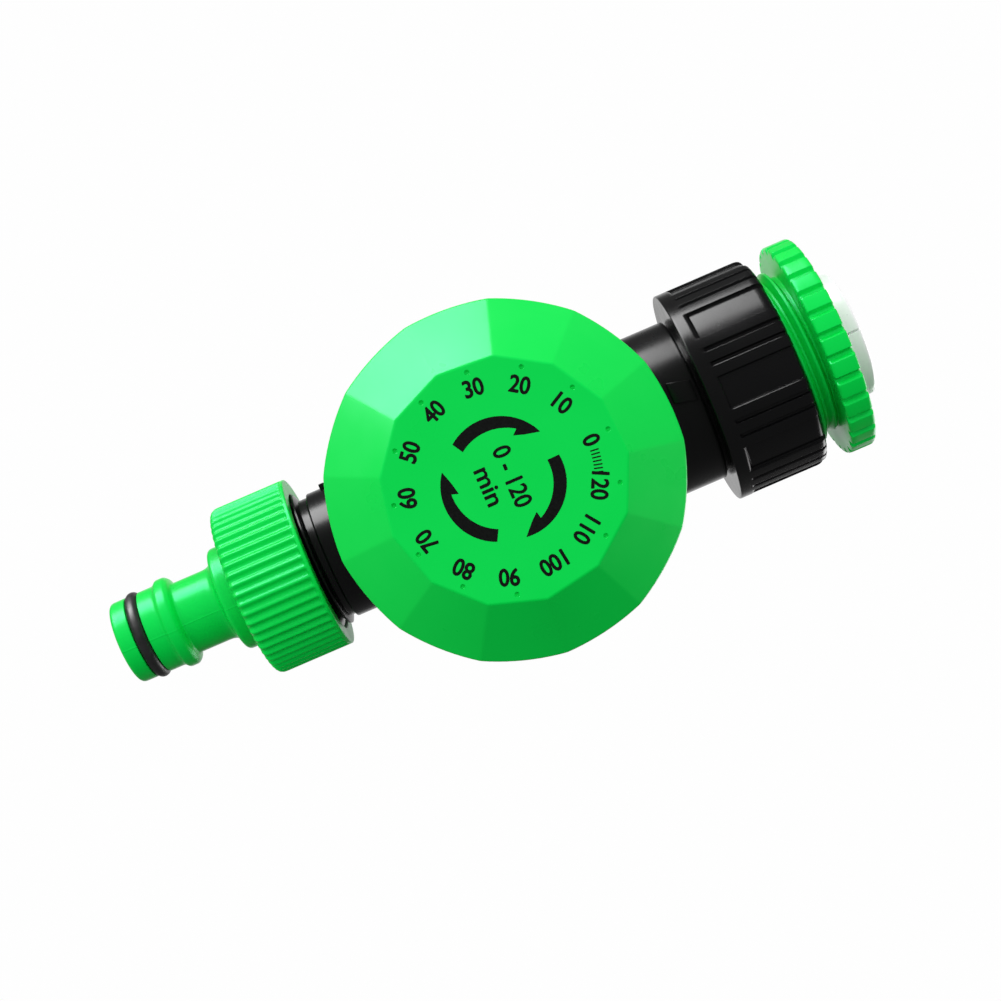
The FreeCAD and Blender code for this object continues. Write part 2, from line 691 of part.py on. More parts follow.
def wheel_shape(teeth, low, thick, bore, windows, window_radius, window_ring):
    """A brass wheel with round lightening windows."""
    cuts = [Part.makeCylinder(bore, thick, V(0, 0, low))]
    for index in range(windows):
        angle = 2 * math.pi * index / windows
        centre = V(window_ring * math.cos(angle), window_ring * math.sin(angle), low)
        cuts.append(Part.makeCylinder(window_radius, thick, centre))
    return gear_blank(teeth, low, thick).cut(cuts)


def pinion_shape(low, high, seat_high):
    """A steel arbor with its pinion leaves and the seat for its wheel."""
    arbor_low = value("floor_high") + 0.2
    arbor_high = value("front_plate_low + plate_thick") - 0.2
    rod = Part.makeCylinder(value("arbor_radius"), arbor_high - arbor_low, V(0, 0, arbor_low))
    seat = Part.makeCylinder(value("arbor_seat"), seat_high - high, V(0, 0, high))
    return gear_blank(int(value("pinion_teeth")), low, high - low).fuse([rod, seat])


def mesh_turn(driver_turn, driver_teeth, follower_teeth, direction):
    """How far a follower is turned so that its gap faces the driver's tooth."""
    lead = (driver_turn - direction) % (360.0 / driver_teeth)
    return direction + 180 - lead * driver_teeth / follower_teeth + 180.0 / follower_teeth


MAIN_DISTANCE = "(gear_module * (main_teeth + pinion_teeth) / 2 + gear_slack)"
STEP_DISTANCE = "(gear_module * (wheel_teeth + pinion_teeth) / 2 + gear_slack)"


def chord_angle(distance):
    """Angle on the arbors' circle between two arbors that are a distance apart."""
    return 2 * math.degrees(math.asin(value(distance) / value(MAIN_DISTANCE) / 2))


def arbor_angles():
    """Angles of the second, third, escape and pallet arbors on their circle."""
    step = chord_angle(STEP_DISTANCE)
    first = 150.0
    return [first, first + step, first + 2 * step, first + 2 * step + chord_angle("pallet_spacing")]


def gear_train():
    """Main wheel on the dial's shaft, then three arbors on one circle round it."""
    main_teeth = int(value("main_teeth"))
    wheel_teeth = int(value("wheel_teeth"))
    pinion_teeth = int(value("pinion_teeth"))
    shape_part("main_wheel", wheel_shape(main_teeth, 22.4, 1.0, value("shaft_radius"), 5, 1.7, 5.6), "dial")

    angles = arbor_angles()
    turn = mesh_turn(0.0, main_teeth, pinion_teeth, angles[0])
    for index, name in enumerate(("second", "third", "escape")):
        across, up = on_circle(MAIN_DISTANCE, angles[index])
        level = 22.0 + 2.0 * index
        wheel_low = level + 2.4
        seat_high = wheel_low + 0.8
        shape_part(f"{name}_pinion", pinion_shape(level, level + 1.7, seat_high), "dial", across, up, turn)
        if name != "escape":
            wheel = wheel_shape(wheel_teeth, wheel_low, 0.8, value("arbor_seat"), 4, 1.4, 3.9)
            shape_part(f"{name}_wheel", wheel, "dial", across, up, turn)
            direction = (angles[index] + angles[index + 1]) / 2 + 90
            turn = mesh_turn(turn, wheel_teeth, pinion_teeth, direction)
    shape_part("escape_wheel", escape_wheel_shape(28.4, 0.8), "dial", across, up, turn)
    escapement(angles[2], angles[3])


def escape_wheel_shape(low, thick):
    """Fifteen raked teeth."""
    tip, root, teeth = 4.4, 3.3, 15
    points = []
    for tooth in range(teeth):
        for radius, share in ((root, 0.0), (root, 0.35), (tip, 0.85), (tip, 0.97)):
            angle = 2 * math.pi * (tooth + share) / teeth
            points.append(V(radius * math.cos(angle), radius * math.sin(angle), low))
    blank = Part.Face(Part.makePolygon(points + points[:1])).extrude(V(0, 0, thick))
    return blank.cut(Part.makeCylinder(value("arbor_seat"), thick, V(0, 0, low)))


def escapement(wheel_angle, pallet_angle):
    """Lever that rocks beside the escape wheel; its pins stop just short of the teeth."""
    spacing = value("pallet_spacing")
    pin_ring = 5.0
    pin_spread = math.radians(36)
    across, up = on_circle(MAIN_DISTANCE, pallet_angle)
    to_wheel = (wheel_angle + pallet_angle) / 2 - 90
    low, thick = 29.3, 0.6
    hub = Part.makeCylinder(1.4, thick, V(0, 0, low))
    weight = Part.makeCylinder(1.5, thick, V(-4.4, 0, low))
    tail = Part.makeBox(4.4, 1, thick, V(-4.4, -0.5, low))
    pieces = [weight, tail]
    for side in (-1, 1):
        reach = V(spacing - pin_ring * math.cos(pin_spread), side * pin_ring * math.sin(pin_spread), 0)
        arm = Part.makeBox(reach.Length, 0.9, thick, V(0, -0.45, low))
        arm.rotate(V(), V(0, 0, 1), math.degrees(math.atan2(reach.y, reach.x)))
        pieces.append(arm)
        pieces.append(Part.makeCylinder(0.28, 1.5, V(reach.x, reach.y, 28.4)))
    lever = hub.fuse(pieces).cut(Part.makeCylinder(value("arbor_radius"), thick, V(0, 0, low)))
    shape_part("pallet_lever", lever, "dial", across, up, to_wheel)
    arbor_low = value("floor_high") + 0.2
    arbor_high = value("front_plate_low + plate_thick") - 0.2
    rod = Part.makeCylinder(value("arbor_radius"), arbor_high - arbor_low, V(0, 0, arbor_low))
    shape_part("pallet_arbor", rod, "dial", across, up)


def dial_shaft():
    """Shaft from the cam to the dial, with a collar under each plate and a flat for the hub."""
    body = turned_part("dial_shaft", "dial", [
        ("0", "13.2"),
        ("shaft_radius - 0.3", "13.2"),
        ("shaft_radius", "13.5"),
        ("shaft_radius", "21.95"),
        ("shaft_collar", "21.95"),
        ("shaft_collar", "22.4"),
        ("shaft_radius", "22.4"),
        ("shaft_radius", "29.5"),
        ("shaft_collar", "29.5"),
        ("shaft_collar", "30.1"),
        ("shaft_radius", "30.1"),
        ("shaft_radius", "dial_face - 2.2"),
        ("0", "dial_face - 2.2"),
    ])
    block(body, ("shaft_flat", "3"), ("-3", "3"), ("hub_low", "dial_face"), cut=True)


def movement_plates():
    """Brass plates, the pillars between them and the stud that holds the mainspring."""
    pillars = [on_circle("pillar_ring", angle) for angle in (105, 235, 345)]
    levels = {"rear_plate": "floor_high", "front_plate": "front_plate_low"}
    for label, low in levels.items():
        plate = ring_part(label, "dial", "shaft_radius + running_gap", "plate_radius", low,
                          f"{low} + plate_thick")
        for angle in arbor_angles():
            across, up = on_circle(MAIN_DISTANCE, angle)
            post(plate, "arbor_radius + 0.05", f"{low} - 1", f"{low} + 2", across, up, cut=True)
        for across, up in pillars:
            post(plate, "0.8", f"{low} - 1", f"{low} + 2", across, up, cut=True)
    posts = []
    low, high = value("floor_high"), value("front_plate_low")
    thick = value("plate_thick")
    for across, up in pillars:
        x, y = value(across), value(up)
        middle = Part.makeCylinder(1.3, high - low - thick, V(x, y, low + thick))
        tenon = Part.makeCylinder(0.8, high - low + thick, V(x, y, low))
        posts.append(middle.fuse(tenon))
    shape_part("plate_pillars", Part.makeCompound(posts), "dial")
    stud = new_body("spring_stud", "dial")
    across, up = on_circle("9.5", 30)
    post(stud, "0.9", "floor_high + plate_thick", "21.8", across, up)


def mainspring():
    """Spiral ribbon round the shaft, hooked outside on its stud."""
    inner, outer = 2.75, value("spring_outer")
    turns, thick = 7, 0.25
    low, width = value("spring_low"), value("spring_width")
    steps = 24 * turns
    end_angle = math.radians(30)
    sides = []
    for offset in (-thick / 2, thick / 2):
        points = []
        for step in range(steps + 1):
            share = step / steps
            radius = inner + (outer - inner) * share + offset
            angle = end_angle - 2 * math.pi * turns * (1 - share)
            points.append(V(radius * math.cos(angle), radius * math.sin(angle), low))
        curve = Part.BSplineCurve()
        curve.interpolate(points)
        sides.append(curve.toShape())
    ends = [
        Part.makeLine(sides[0].Vertexes[0].Point, sides[1].Vertexes[0].Point),
        Part.makeLine(sides[0].Vertexes[-1].Point, sides[1].Vertexes[-1].Point),
    ]
    ribbon = Part.Face(Part.Wire(Part.__sortEdges__([sides[0], ends[1], sides[1], ends[0]])))
    shape_part("mainspring", ribbon.extrude(V(0, 0, width)), "dial")


def movement_cover():
    """Dust cover screwed to the floor of the case."""
    body = turned_part("movement_cover", "dial", [
        ("cover_wall_radius - 1", "floor_high"),
        ("26.4", "floor_high"),
        ("26.4", "floor_high + 1.5"),
        ("cover_wall_radius", "floor_high + 1.5"),
        ("cover_wall_radius", "cover_high - 1.8"),
        ("cover_wall_radius - 1.7", "cover_high"),
        ("5.6", "cover_high"),
        ("5.6", "cover_high - 0.8"),
        ("cover_wall_radius - 2.4", "cover_high - 0.8"),
        ("cover_wall_radius - 1", "cover_high - 2.1"),
    ])
    for across, up in corner_places("movement_screw_ring", 0, 3):
        post(body, "1.3", "floor_high - 1", "floor_high + 3", across, up, cut=True)


# ------------------------------------------------------------------ dial

def dial():
    """Faceted knob: a flat many-sided face, sloping facets and a short skirt."""
    body = new_body("dial", "dial")
    sides = int(value("dial_sides"))
    pitch = 360.0 / sides
    face = []
    edge = []
    for side in range(sides):
        angle = f"(dial_ridge_angle + {side} * 360 / dial_sides)"
        face.append(on_circle("dial_face_radius", angle))
        edge.append(on_circle("dial_edge_radius", angle))
    raised(body, edge, "dial_back", "dial_edge - dial_back", bulge="dial_edge_bulge")
    loft = body.newObject("PartDesign::AdditiveLoft", "Facets")
    loft.Profile = outline(body, edge, "XY_Plane", "dial_edge_bulge", offset="dial_edge")
    loft.Sections = [outline(body, face, "XY_Plane", offset="dial_face")]
    loft.Ruled = True
    turned(body, [
        ("0", "dial_back - 1"),
        ("dial_edge_radius - 1.9", "dial_back - 1"),
        ("dial_edge_radius - 2.1", "dial_edge - 1.2"),
        ("dial_face_radius - 2.5", "dial_face - dial_wall"),
        ("0", "dial_face - dial_wall"),
    ], cut=True)
    post(body, "hub_radius", "hub_low", "dial_face - dial_wall + 0.1")
    post(body, "shaft_radius", "hub_low - 1", "dial_face - dial_wall", cut=True)
    block(body, ("shaft_flat", "3.2"), ("-2", "2"), ("hub_low", "dial_face - dial_wall + 0.1"))
    # a dimple beside every number except 100, where the mould has none
    number_without_dimple = 10
    for number in range(sides):
        if number == number_without_dimple:
            continue
        across, up = on_circle("dimple_ring", f"(dial_ridge_angle + {pitch * (number + 0.5)})")
        post(body, "0.5", "dial_face - 0.5", "dial_face + 0.5", across, up, cut=True)
    clip = ring_part("hub_clip", "dial", "hub_radius", "hub_radius + 0.5", "hub_low + 2.2", "hub_low + 3.2")
    block(clip, ("-1", "1"), ("4", "6"), ("hub_low + 2", "hub_low + 4"), cut=True)


# ------------------------------------------------------------------ outlet

def outlet_nut():
    """Green nut that clamps the nipple to the outlet."""
    body = turned_part("outlet_nut", "flow", [
        ("nipple_shoulder + running_gap", "-outlet_nut_low"),
        ("12.8", "-outlet_nut_low + 0.05"),
        *rounded_corner("outlet_nut_radius", "-outlet_nut_low + 0.1", "1.4", "side", up=False),
        ("outlet_nut_radius", "-outlet_nut_mouth - 0.3"),
        ("outlet_nut_radius - 0.3", "-outlet_nut_mouth"),
        ("outlet_crest + 0.35", "-outlet_nut_mouth"),
        *thread_down("outlet_crest + 0.25", "outlet_root + 0.2", "-outlet_low + 0.2 - 0.5 * outlet_pitch",
                     "outlet_pitch", 5),
        ("outlet_root + 0.35", "-outlet_low - 0.9"),
        ("outlet_root + 0.35", "-outlet_nut_low + 2.2"),
        ("nipple_shoulder + running_gap", "-outlet_nut_low + 2.2"),
    ])
    valley = post(body, "0.62", "-outlet_nut_low - 1", "-outlet_nut_mouth - 0.9", "outlet_nut_radius + 0.17",
                  "0", cut=True)
    repeated(body, [valley], "outlet_nut_ribs")


def outlet_nipple():
    """Snap nipple: flange and shoulder held by the nut, then neck, latch collar and O-ring land."""
    turned_part("outlet_nipple", "flow", [
        ("nipple_bore", "-outlet_low - outlet_washer_thick"),
        ("nipple_flange", "-outlet_low - outlet_washer_thick"),
        ("nipple_flange", "-outlet_nut_low + 2.3"),
        ("nipple_shoulder", "-outlet_nut_low + 2.3"),
        *rounded_corner("nipple_shoulder", "-outlet_nut_low - 3.2", "0.8", "end", up=False),
        ("nipple_neck + 0.9", "-outlet_nut_low - 3.9"),
        ("nipple_neck + 0.25", "-outlet_nut_low - 4.5"),
        ("nipple_neck", "-outlet_nut_low - 5.5"),
        ("nipple_neck", "-collar_high + 0.4"),
        ("nipple_collar - 0.5", "-collar_high"),
        ("nipple_collar", "-collar_high - 0.7"),
        ("nipple_collar", "-collar_low + 0.6"),
        ("nipple_collar - 0.5", "-collar_low"),
        ("nipple_land", "-collar_low - 0.5"),
        ("nipple_land", "-groove_high"),
        ("groove_radius", "-groove_high"),
        ("groove_radius", "-groove_low"),
        ("nipple_land", "-groove_low"),
        *rounded_corner("nipple_land", "-nipple_low", "1.3", "end", up=False),
        ("nipple_bore + 0.3", "-nipple_low"),
        ("nipple_bore", "-nipple_low + 0.3"),
    ])
    seal_part("nipple_o_ring", "flow", "groove_radius + 1.2", "1.2", "-(groove_high + groove_low) / 2")
    ring_part("outlet_washer", "flow", "7", "nipple_flange - 0.1", "-outlet_low - outlet_washer_thick",
              "-outlet_low")


# ------------------------------------------------------------------ the whole timer

tap_reducer()
thread_adapter()
inlet_nut()
swivel_ring()
filter_screen()
valve_body()
rear_cover()
screw_group("cover_screws", "cover_screw_ring", 45, 4, 2.6, "case_back - cover_thick + 0.1",
            "case_back - 0.5", 1.0, "-8", back=True)
screw_group("movement_screws", "movement_screw_ring", 0, 3, 2.2, "floor_high + 1.5", "floor_high + 3",
            0.95, "9")
valve_cap()
shaft_bonnet()
plunger()
valve_spring()
lift_cam()
gear_train()
dial_shaft()
movement_plates()
mainspring()
movement_cover()
dial()
outlet_nut()
outlet_nipple()

doc.recompute()
for thing in doc.Objects:
    if "Invalid" in thing.State or "Error" in thing.State:
        raise RuntimeError(f"{thing.Label} ({thing.Name}) failed: {thing.State}")
os.makedirs("parts", exist_ok=True)
for part in PARTS:
    shape = part.Shape
    if shape.isNull() or not shape.isValid():
        raise RuntimeError(f"{part.Label} has no valid shape")
    shape.exportStep(os.path.join("parts", part.Label + ".step"))
    print(f"{part.Label:18s} {len(shape.Solids)} solid(s) {shape.Volume:10.1f} mm3")
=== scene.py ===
"""Looks of the wind-up water timer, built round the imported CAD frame.

Lengths are metres in the row frame: +Z up the water path, -Y out through the dial's face.
Profiles are pairs (radius, station) in millimetres. A station is a height above the dial's axis
for pieces turned round the water path, and a distance forward of the water path for pieces
turned round the dial's axis.
"""
import bpy
import bmesh
import json
import math
from mathutils import Matrix, Vector

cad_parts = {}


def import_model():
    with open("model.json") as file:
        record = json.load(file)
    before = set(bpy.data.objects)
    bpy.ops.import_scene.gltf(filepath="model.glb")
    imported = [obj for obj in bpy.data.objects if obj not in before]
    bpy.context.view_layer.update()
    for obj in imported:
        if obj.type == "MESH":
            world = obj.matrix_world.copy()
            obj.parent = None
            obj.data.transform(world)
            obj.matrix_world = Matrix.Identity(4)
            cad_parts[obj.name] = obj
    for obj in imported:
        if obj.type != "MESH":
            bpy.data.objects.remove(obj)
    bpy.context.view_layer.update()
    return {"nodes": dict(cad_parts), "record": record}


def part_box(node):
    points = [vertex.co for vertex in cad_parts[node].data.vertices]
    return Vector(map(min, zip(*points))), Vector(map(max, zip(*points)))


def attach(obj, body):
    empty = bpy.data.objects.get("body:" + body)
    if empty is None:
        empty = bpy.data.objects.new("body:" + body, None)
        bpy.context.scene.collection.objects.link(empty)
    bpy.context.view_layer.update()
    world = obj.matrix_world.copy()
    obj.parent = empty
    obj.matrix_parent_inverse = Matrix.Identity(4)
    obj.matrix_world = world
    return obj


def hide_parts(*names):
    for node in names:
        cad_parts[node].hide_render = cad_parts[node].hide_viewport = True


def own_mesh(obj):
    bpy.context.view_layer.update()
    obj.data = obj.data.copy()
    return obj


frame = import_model()
MM = 0.001


# ------------------------------------------------------------------ sizes from the frame

def middle(node):
    """Centre of a node's box."""
    low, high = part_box(node)
    return (low + high) / 2


AXIS = middle("dial_shaft").z


def radius_of(node):
    """Largest radius of a node turned round the water path, in millimetres."""
    low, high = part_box(node)
    return (high.x - low.x) / 2 / MM


def stations(node):
    """Lowest and highest station of a node, in millimetres above the dial's axis."""
    low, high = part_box(node)
    return (low.z - AXIS) / MM, (high.z - AXIS) / MM


def depths(node):
    """Back and front of a node, in millimetres forward of the water path."""
    low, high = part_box(node)
    return -high.y / MM, -low.y / MM


# ------------------------------------------------------------------ mesh helpers

def add_piece(name, mesh, body, slot, replaced=(), smooth=35):
    """Put a finished mesh in the scene as a piece of the timer."""
    thing = bpy.data.objects.new(name, mesh)
    bpy.context.scene.collection.objects.link(thing)
    mesh.shade_smooth()
    mesh.set_sharp_from_angle(angle=math.radians(smooth))
    mesh.materials.clear()
    mesh.materials.append(MATERIALS[slot])
    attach(thing, body)
    if replaced:
        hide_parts(*replaced)
    return thing


def mesh_from(name, build):
    """A mesh made by a function that fills a bmesh."""
    mesh = bpy.data.meshes.new(name)
    work = bmesh.new()
    build(work)
    bmesh.ops.recalc_face_normals(work, faces=work.faces)
    work.to_mesh(mesh)
    work.free()
    return mesh


def rounded(points, closed=False, steps=5):
    """A profile whose points (radius, station, fillet) are rounded by their fillets."""
    out = []
    count = len(points)
    for index, point in enumerate(points):
        here = Vector(point[:2])
        fillet = point[2] if len(point) > 2 else 0
        inner = 0 < index < count - 1 or closed
        if not fillet or not inner:
            out.append(tuple(here))
            continue
        before = Vector(points[index - 1][:2]) - here
        after = Vector(points[(index + 1) % count][:2]) - here
        reach = min(fillet, before.length * 0.49, after.length * 0.49)
        start = here + before.normalized() * reach
        end = here + after.normalized() * reach
        for step in range(steps + 1):
            share = step / steps
            first = start.lerp(here, share)
            second = here.lerp(end, share)
            out.append(tuple(first.lerp(second, share)))
    return out


def fine(points, step):
    """The profile with extra points so that no side is longer than step."""
    out = [points[0]]
    for start, end in zip(points, points[1:]):
        first, last = Vector(start), Vector(end)
        count = max(1, math.ceil((last - first).length / step))
        for index in range(1, count + 1):
            out.append(tuple(first.lerp(last, index / count)))
    return out


def spot(axis, radius, station, angle):
    """A point of a turned piece, from millimetres to metres."""
    across, up = radius * math.cos(angle), radius * math.sin(angle)
    if axis == "flow":
        return Vector((across * MM, up * MM, AXIS + station * MM))
    return Vector((across * MM, -station * MM, AXIS + up * MM))


def turn_profile(work, profile, axis, segments, reshape):
    """Turn a closed profile round an axis; reshape gives each point's own radius."""
    rings = []
    for radius, station in profile:
        if radius < 1e-6:
            rings.append([work.verts.new(spot(axis, 0, station, 0))])
            continue
        ring = []
        for index in range(segments):
            angle = 2 * math.pi * index / segments
            own = reshape(angle, radius, station) if reshape else radius
            ring.append(work.verts.new(spot(axis, own, station, angle)))
        rings.append(ring)
    for low, high in zip(rings, rings[1:] + rings[:1]):
        for index in range(segments):
            after = (index + 1) % segments
            corners = [
                low[index % len(low)], low[after % len(low)],
                high[after % len(high)], high[index % len(high)],
            ]
            unique = list(dict.fromkeys(corners))
            if len(unique) > 2:
                work.faces.new(unique)


def turned(name, profile, body, slot, replaced=(), axis="flow", segments=256, reshape=None):
    """A piece made by turning a closed profile."""
    def build(work):
        turn_profile(work, profile, axis, segments, reshape)
    return add_piece(name, mesh_from(name, build), body, slot, replaced)


def soften(work, size):
    """Round every edge of a small block."""
    bmesh.ops.bevel(
        work, geom=list(work.edges), offset=size * MM, segments=2, profile=0.5, affect="EDGES")


def smoothstep(low, high, number):
    """0 below low, 1 above high, and a smooth rise between them."""
    share = min(max((number - low) / (high - low), 0.0), 1.0)
    return share * share * (3 - 2 * share)


def off_centre(angle, centre, pitch):
    """Degrees from an angle to the nearest of the places repeated every pitch degrees."""
    away = (math.degrees(angle) - centre) % pitch
    return min(away, pitch - away)


def groove(away, half, soft):
    """1 in the middle of a groove, 0 outside, with soft sides."""
    return 1 - smoothstep(half - soft, half + soft, away)


# pitches of the G1 thread, and of G1/2 and G3/4, in millimetres
UNION_PITCH = 2.309
TAP_PITCH = 1.814


def helix_ridge(name, root, crest, pitch, low, high, body, slot, start):
    """A right-handed outside thread that rises from the root and runs out at both ends.

    The ridge's shape is pairs (share of a pitch along the axis, share of the thread's height).
    """
    turns = (high - low) / pitch
    steps = int(turns * 96)
    fade = 0.35
    sunk = 0.02
    shape = ((-0.42, 0.0), (-0.16, 0.86), (-0.1, 1.0), (0.1, 1.0), (0.16, 0.86), (0.42, 0.0))

    def build(work):
        rows = []
        for step in range(steps + 1):
            turn = turns * step / steps
            angle = start + 2 * math.pi * turn
            lift = min(smoothstep(0, fade, turn), smoothstep(0, fade, turns - turn))
            height = (crest - root) * lift
            row = []
            for along, out in shape:
                radius = root - sunk + (height + sunk) * out
                level = low + pitch * (turn + along)
                row.append(work.verts.new(spot("flow", radius, level, angle)))
            rows.append(row)
        for before, after in zip(rows, rows[1:]):
            for index in range(len(shape) - 1):
                work.faces.new((before[index], before[index + 1], after[index + 1], after[index]))
        work.faces.new(rows[0])
        work.faces.new(list(reversed(rows[-1])))

    add_piece(name, mesh_from(name, build), body, slot, smooth=30)


# ------------------------------------------------------------------ materials

# radius in metres by which shading rounds the sharp edges of hard pieces
EDGE = 0.00018


def shader(name):
    """A new material with its Principled shader and node tree."""
    material = bpy.data.materials.new(name)
    material.use_nodes = True
    tree = material.node_tree
    return material, tree, tree.nodes["Principled BSDF"]


def noise(tree, scale, detail=2.0, roughness=0.5):
    """Noise in the object's own coordinates; scale is in waves per metre."""
    place = tree.nodes.new("ShaderNodeTexCoord")
    texture = tree.nodes.new("ShaderNodeTexNoise")
    texture.inputs["Scale"].default_value = scale
    texture.inputs["Detail"].default_value = detail
    texture.inputs["Roughness"].default_value = roughness
    tree.links.new(place.outputs["Object"], texture.inputs["Vector"])
    return texture.outputs["Fac"]


def ramp(tree, source, low, high):
    """A factor stretched between two values."""
    node = tree.nodes.new("ShaderNodeMapRange")
    node.inputs["From Min"].default_value = 0.3
    node.inputs["From Max"].default_value = 0.7
    node.inputs["To Min"].default_value = low
    node.inputs["To Max"].default_value = high
    tree.links.new(source, node.inputs["Value"])
    return node.outputs["Result"]


def tint(tree, source, first, second):
    """A colour that wanders between two."""
    node = tree.nodes.new("ShaderNodeMix")
    node.data_type = "RGBA"
    node.inputs["A"].default_value = (*first, 1)
    node.inputs["B"].default_value = (*second, 1)
    tree.links.new(source, node.inputs["Factor"])
    return node.outputs["Result"]


def bumped(tree, principled, layers, edge=0.0):
    """Bump from several noises (output, strength, depth); edge rounds sharp edges in shading."""
    normal = None
    if edge:
        bevel = tree.nodes.new("ShaderNodeBevel")
        bevel.samples = 4
        bevel.inputs["Radius"].default_value = edge
        normal = bevel.outputs["Normal"]
    for source, strength, depth in layers:
        bump = tree.nodes.new("ShaderNodeBump")
        bump.inputs["Strength"].default_value = strength
        bump.inputs["Distance"].default_value = depth
        tree.links.new(source, bump.inputs["Height"])
        if normal:
            tree.links.new(normal, bump.inputs["Normal"])
        normal = bump.outputs["Normal"]
    tree.links.new(normal, principled.inputs["Normal"])


def moulded(name, colour, roughness, spread, shine=(1, 1, 1)):
    """Moulded plastic: faint sink marks, a fine spark-eroded grain and a slightly uneven gloss."""
    material, tree, principled = shader(name)
    darker = tuple(channel * 0.94 for channel in colour)
    cloudy = noise(tree, 90, 3)
    grainy = noise(tree, 5200, 3, 0.6)
    wavy = noise(tree, 260, 1)
    gloss = ramp(tree, cloudy, roughness - spread, roughness + spread)
    tree.links.new(tint(tree, cloudy, darker, colour), principled.inputs["Base Color"])
    tree.links.new(gloss, principled.inputs["Roughness"])
    principled.inputs["Specular IOR Level"].default_value = 0.25
    principled.inputs["Specular Tint"].default_value = (*shine, 1)
    bumped(tree, principled, ((wavy, 0.12, 0.00006), (grainy, 0.12, 0.000012)), EDGE)
    return material


def metal(name, colour, roughness, spread, brushed, bare=1.0):
    """Metal with fine tool marks; brushed is their scale, and bare is how metallic it looks."""
    material, tree, principled = shader(name)
    principled.inputs["Metallic"].default_value = bare
    marks = noise(tree, brushed, 4, 0.7)
    cloudy = noise(tree, 140, 3)
    darker = tuple(channel * 0.9 for channel in colour)
    gloss = ramp(tree, marks, roughness - spread, roughness + spread)
    tree.links.new(tint(tree, cloudy, darker, colour), principled.inputs["Base Color"])
    tree.links.new(gloss, principled.inputs["Roughness"])
    bumped(tree, principled, ((marks, 0.1, 0.00001),), EDGE)
    return material


def rubber(name):
    """Black nitrile rubber with a matt bloom."""
    material, tree, principled = shader(name)
    cloudy = noise(tree, 700, 4)
    bloom = tint(tree, cloudy, (0.008, 0.008, 0.009), (0.02, 0.02, 0.021))
    tree.links.new(bloom, principled.inputs["Base Color"])
    tree.links.new(ramp(tree, cloudy, 0.36, 0.5), principled.inputs["Roughness"])
    bumped(tree, principled, ((cloudy, 0.2, 0.00003),))
    return material


def ink(name):
    """Pad-printed black ink, with slight pinholes of thinner ink."""
    material, tree, principled = shader(name)
    blotchy = noise(tree, 2600, 3)
    thin = tint(tree, blotchy, (0.001, 0.002, 0.0015), (0.003, 0.006, 0.004))
    tree.links.new(thin, principled.inputs["Base Color"])
    tree.links.new(ramp(tree, blotchy, 0.42, 0.6), principled.inputs["Roughness"])
    principled.inputs["Specular IOR Level"].default_value = 0.2
    bumped(tree, principled, ((blotchy, 0.15, 0.00001),))
    return material


MATERIALS = {
    "green_plastic": moulded("green_abs", (0.001, 0.64, 0.06), 0.3, 0.04, shine=(0.25, 1.0, 1.0)),
    "black_plastic": moulded("black_abs", (0.0045, 0.0045, 0.005), 0.24, 0.04),
    "white_plastic": moulded("white_acetal", (0.78, 0.77, 0.73), 0.45, 0.05),
    "black_rubber": rubber("nitrile_rubber"),
    "chrome": metal("satin_chrome_plate", (0.93, 0.935, 0.94), 0.3, 0.03, 900, bare=0.12),
    "steel": metal("bright_steel", (0.56, 0.57, 0.58), 0.3, 0.08, 2600),
    "brass": metal("stamped_brass", (0.74, 0.53, 0.2), 0.32, 0.08, 1800),
    "ink": ink("printed_ink"),
}


def dress_cad_nodes():
    """Give every CAD node that still shows the finish of its slot."""
    for row in frame["record"]["subparts"]:
        mesh = frame["nodes"][row["node"]].data
        mesh.materials.clear()
        mesh.materials.append(MATERIALS[row["material_slot"]])


# ------------------------------------------------------------------ dial

# lengths in millimetres; angles in degrees, counter-clockwise from +X as the dial is seen
SIDES = 13
RIDGE_ANGLE = 79.5
FACE_CORNER = 21.1
EDGE_CORNER = 31.6
SKIRT = 11.5
BOW_RADIUS = 44.9
WALL = 2.2
PRINT_THICK = 0.02
PRINT_CENTRE = Vector((-0.2, -0.4))
FIRST_NUMBER_ANGLE = 91.3
NUMBER_RING = 16.3
NUMBER_HEIGHT = 2.85
DIMPLE_RING = 19.2
DIMPLE_RADIUS = 0.42
NARROW = 0.88


def polygon_point(corner, side, share, bow):
    """A point along one side of the dial's outline; bow is 0 for a straight side, 1 for bowed."""
    pitch = 360 / SIDES
    first = math.radians(RIDGE_ANGLE + side * pitch)
    second = math.radians(RIDGE_ANGLE + (side + 1) * pitch)
    start = Vector((math.cos(first), math.sin(first))) * corner
    end = Vector((math.cos(second), math.sin(second))) * corner
    flat = start.lerp(end, share)
    if not bow:
        return flat
    half = (end - start).length / 2
    away = abs(share - 0.5) * 2 * half
    rise = math.sqrt(BOW_RADIUS ** 2 - away ** 2) - math.sqrt(BOW_RADIUS ** 2 - half ** 2)
    return flat + ((start + end) / 2).normalized() * rise * bow


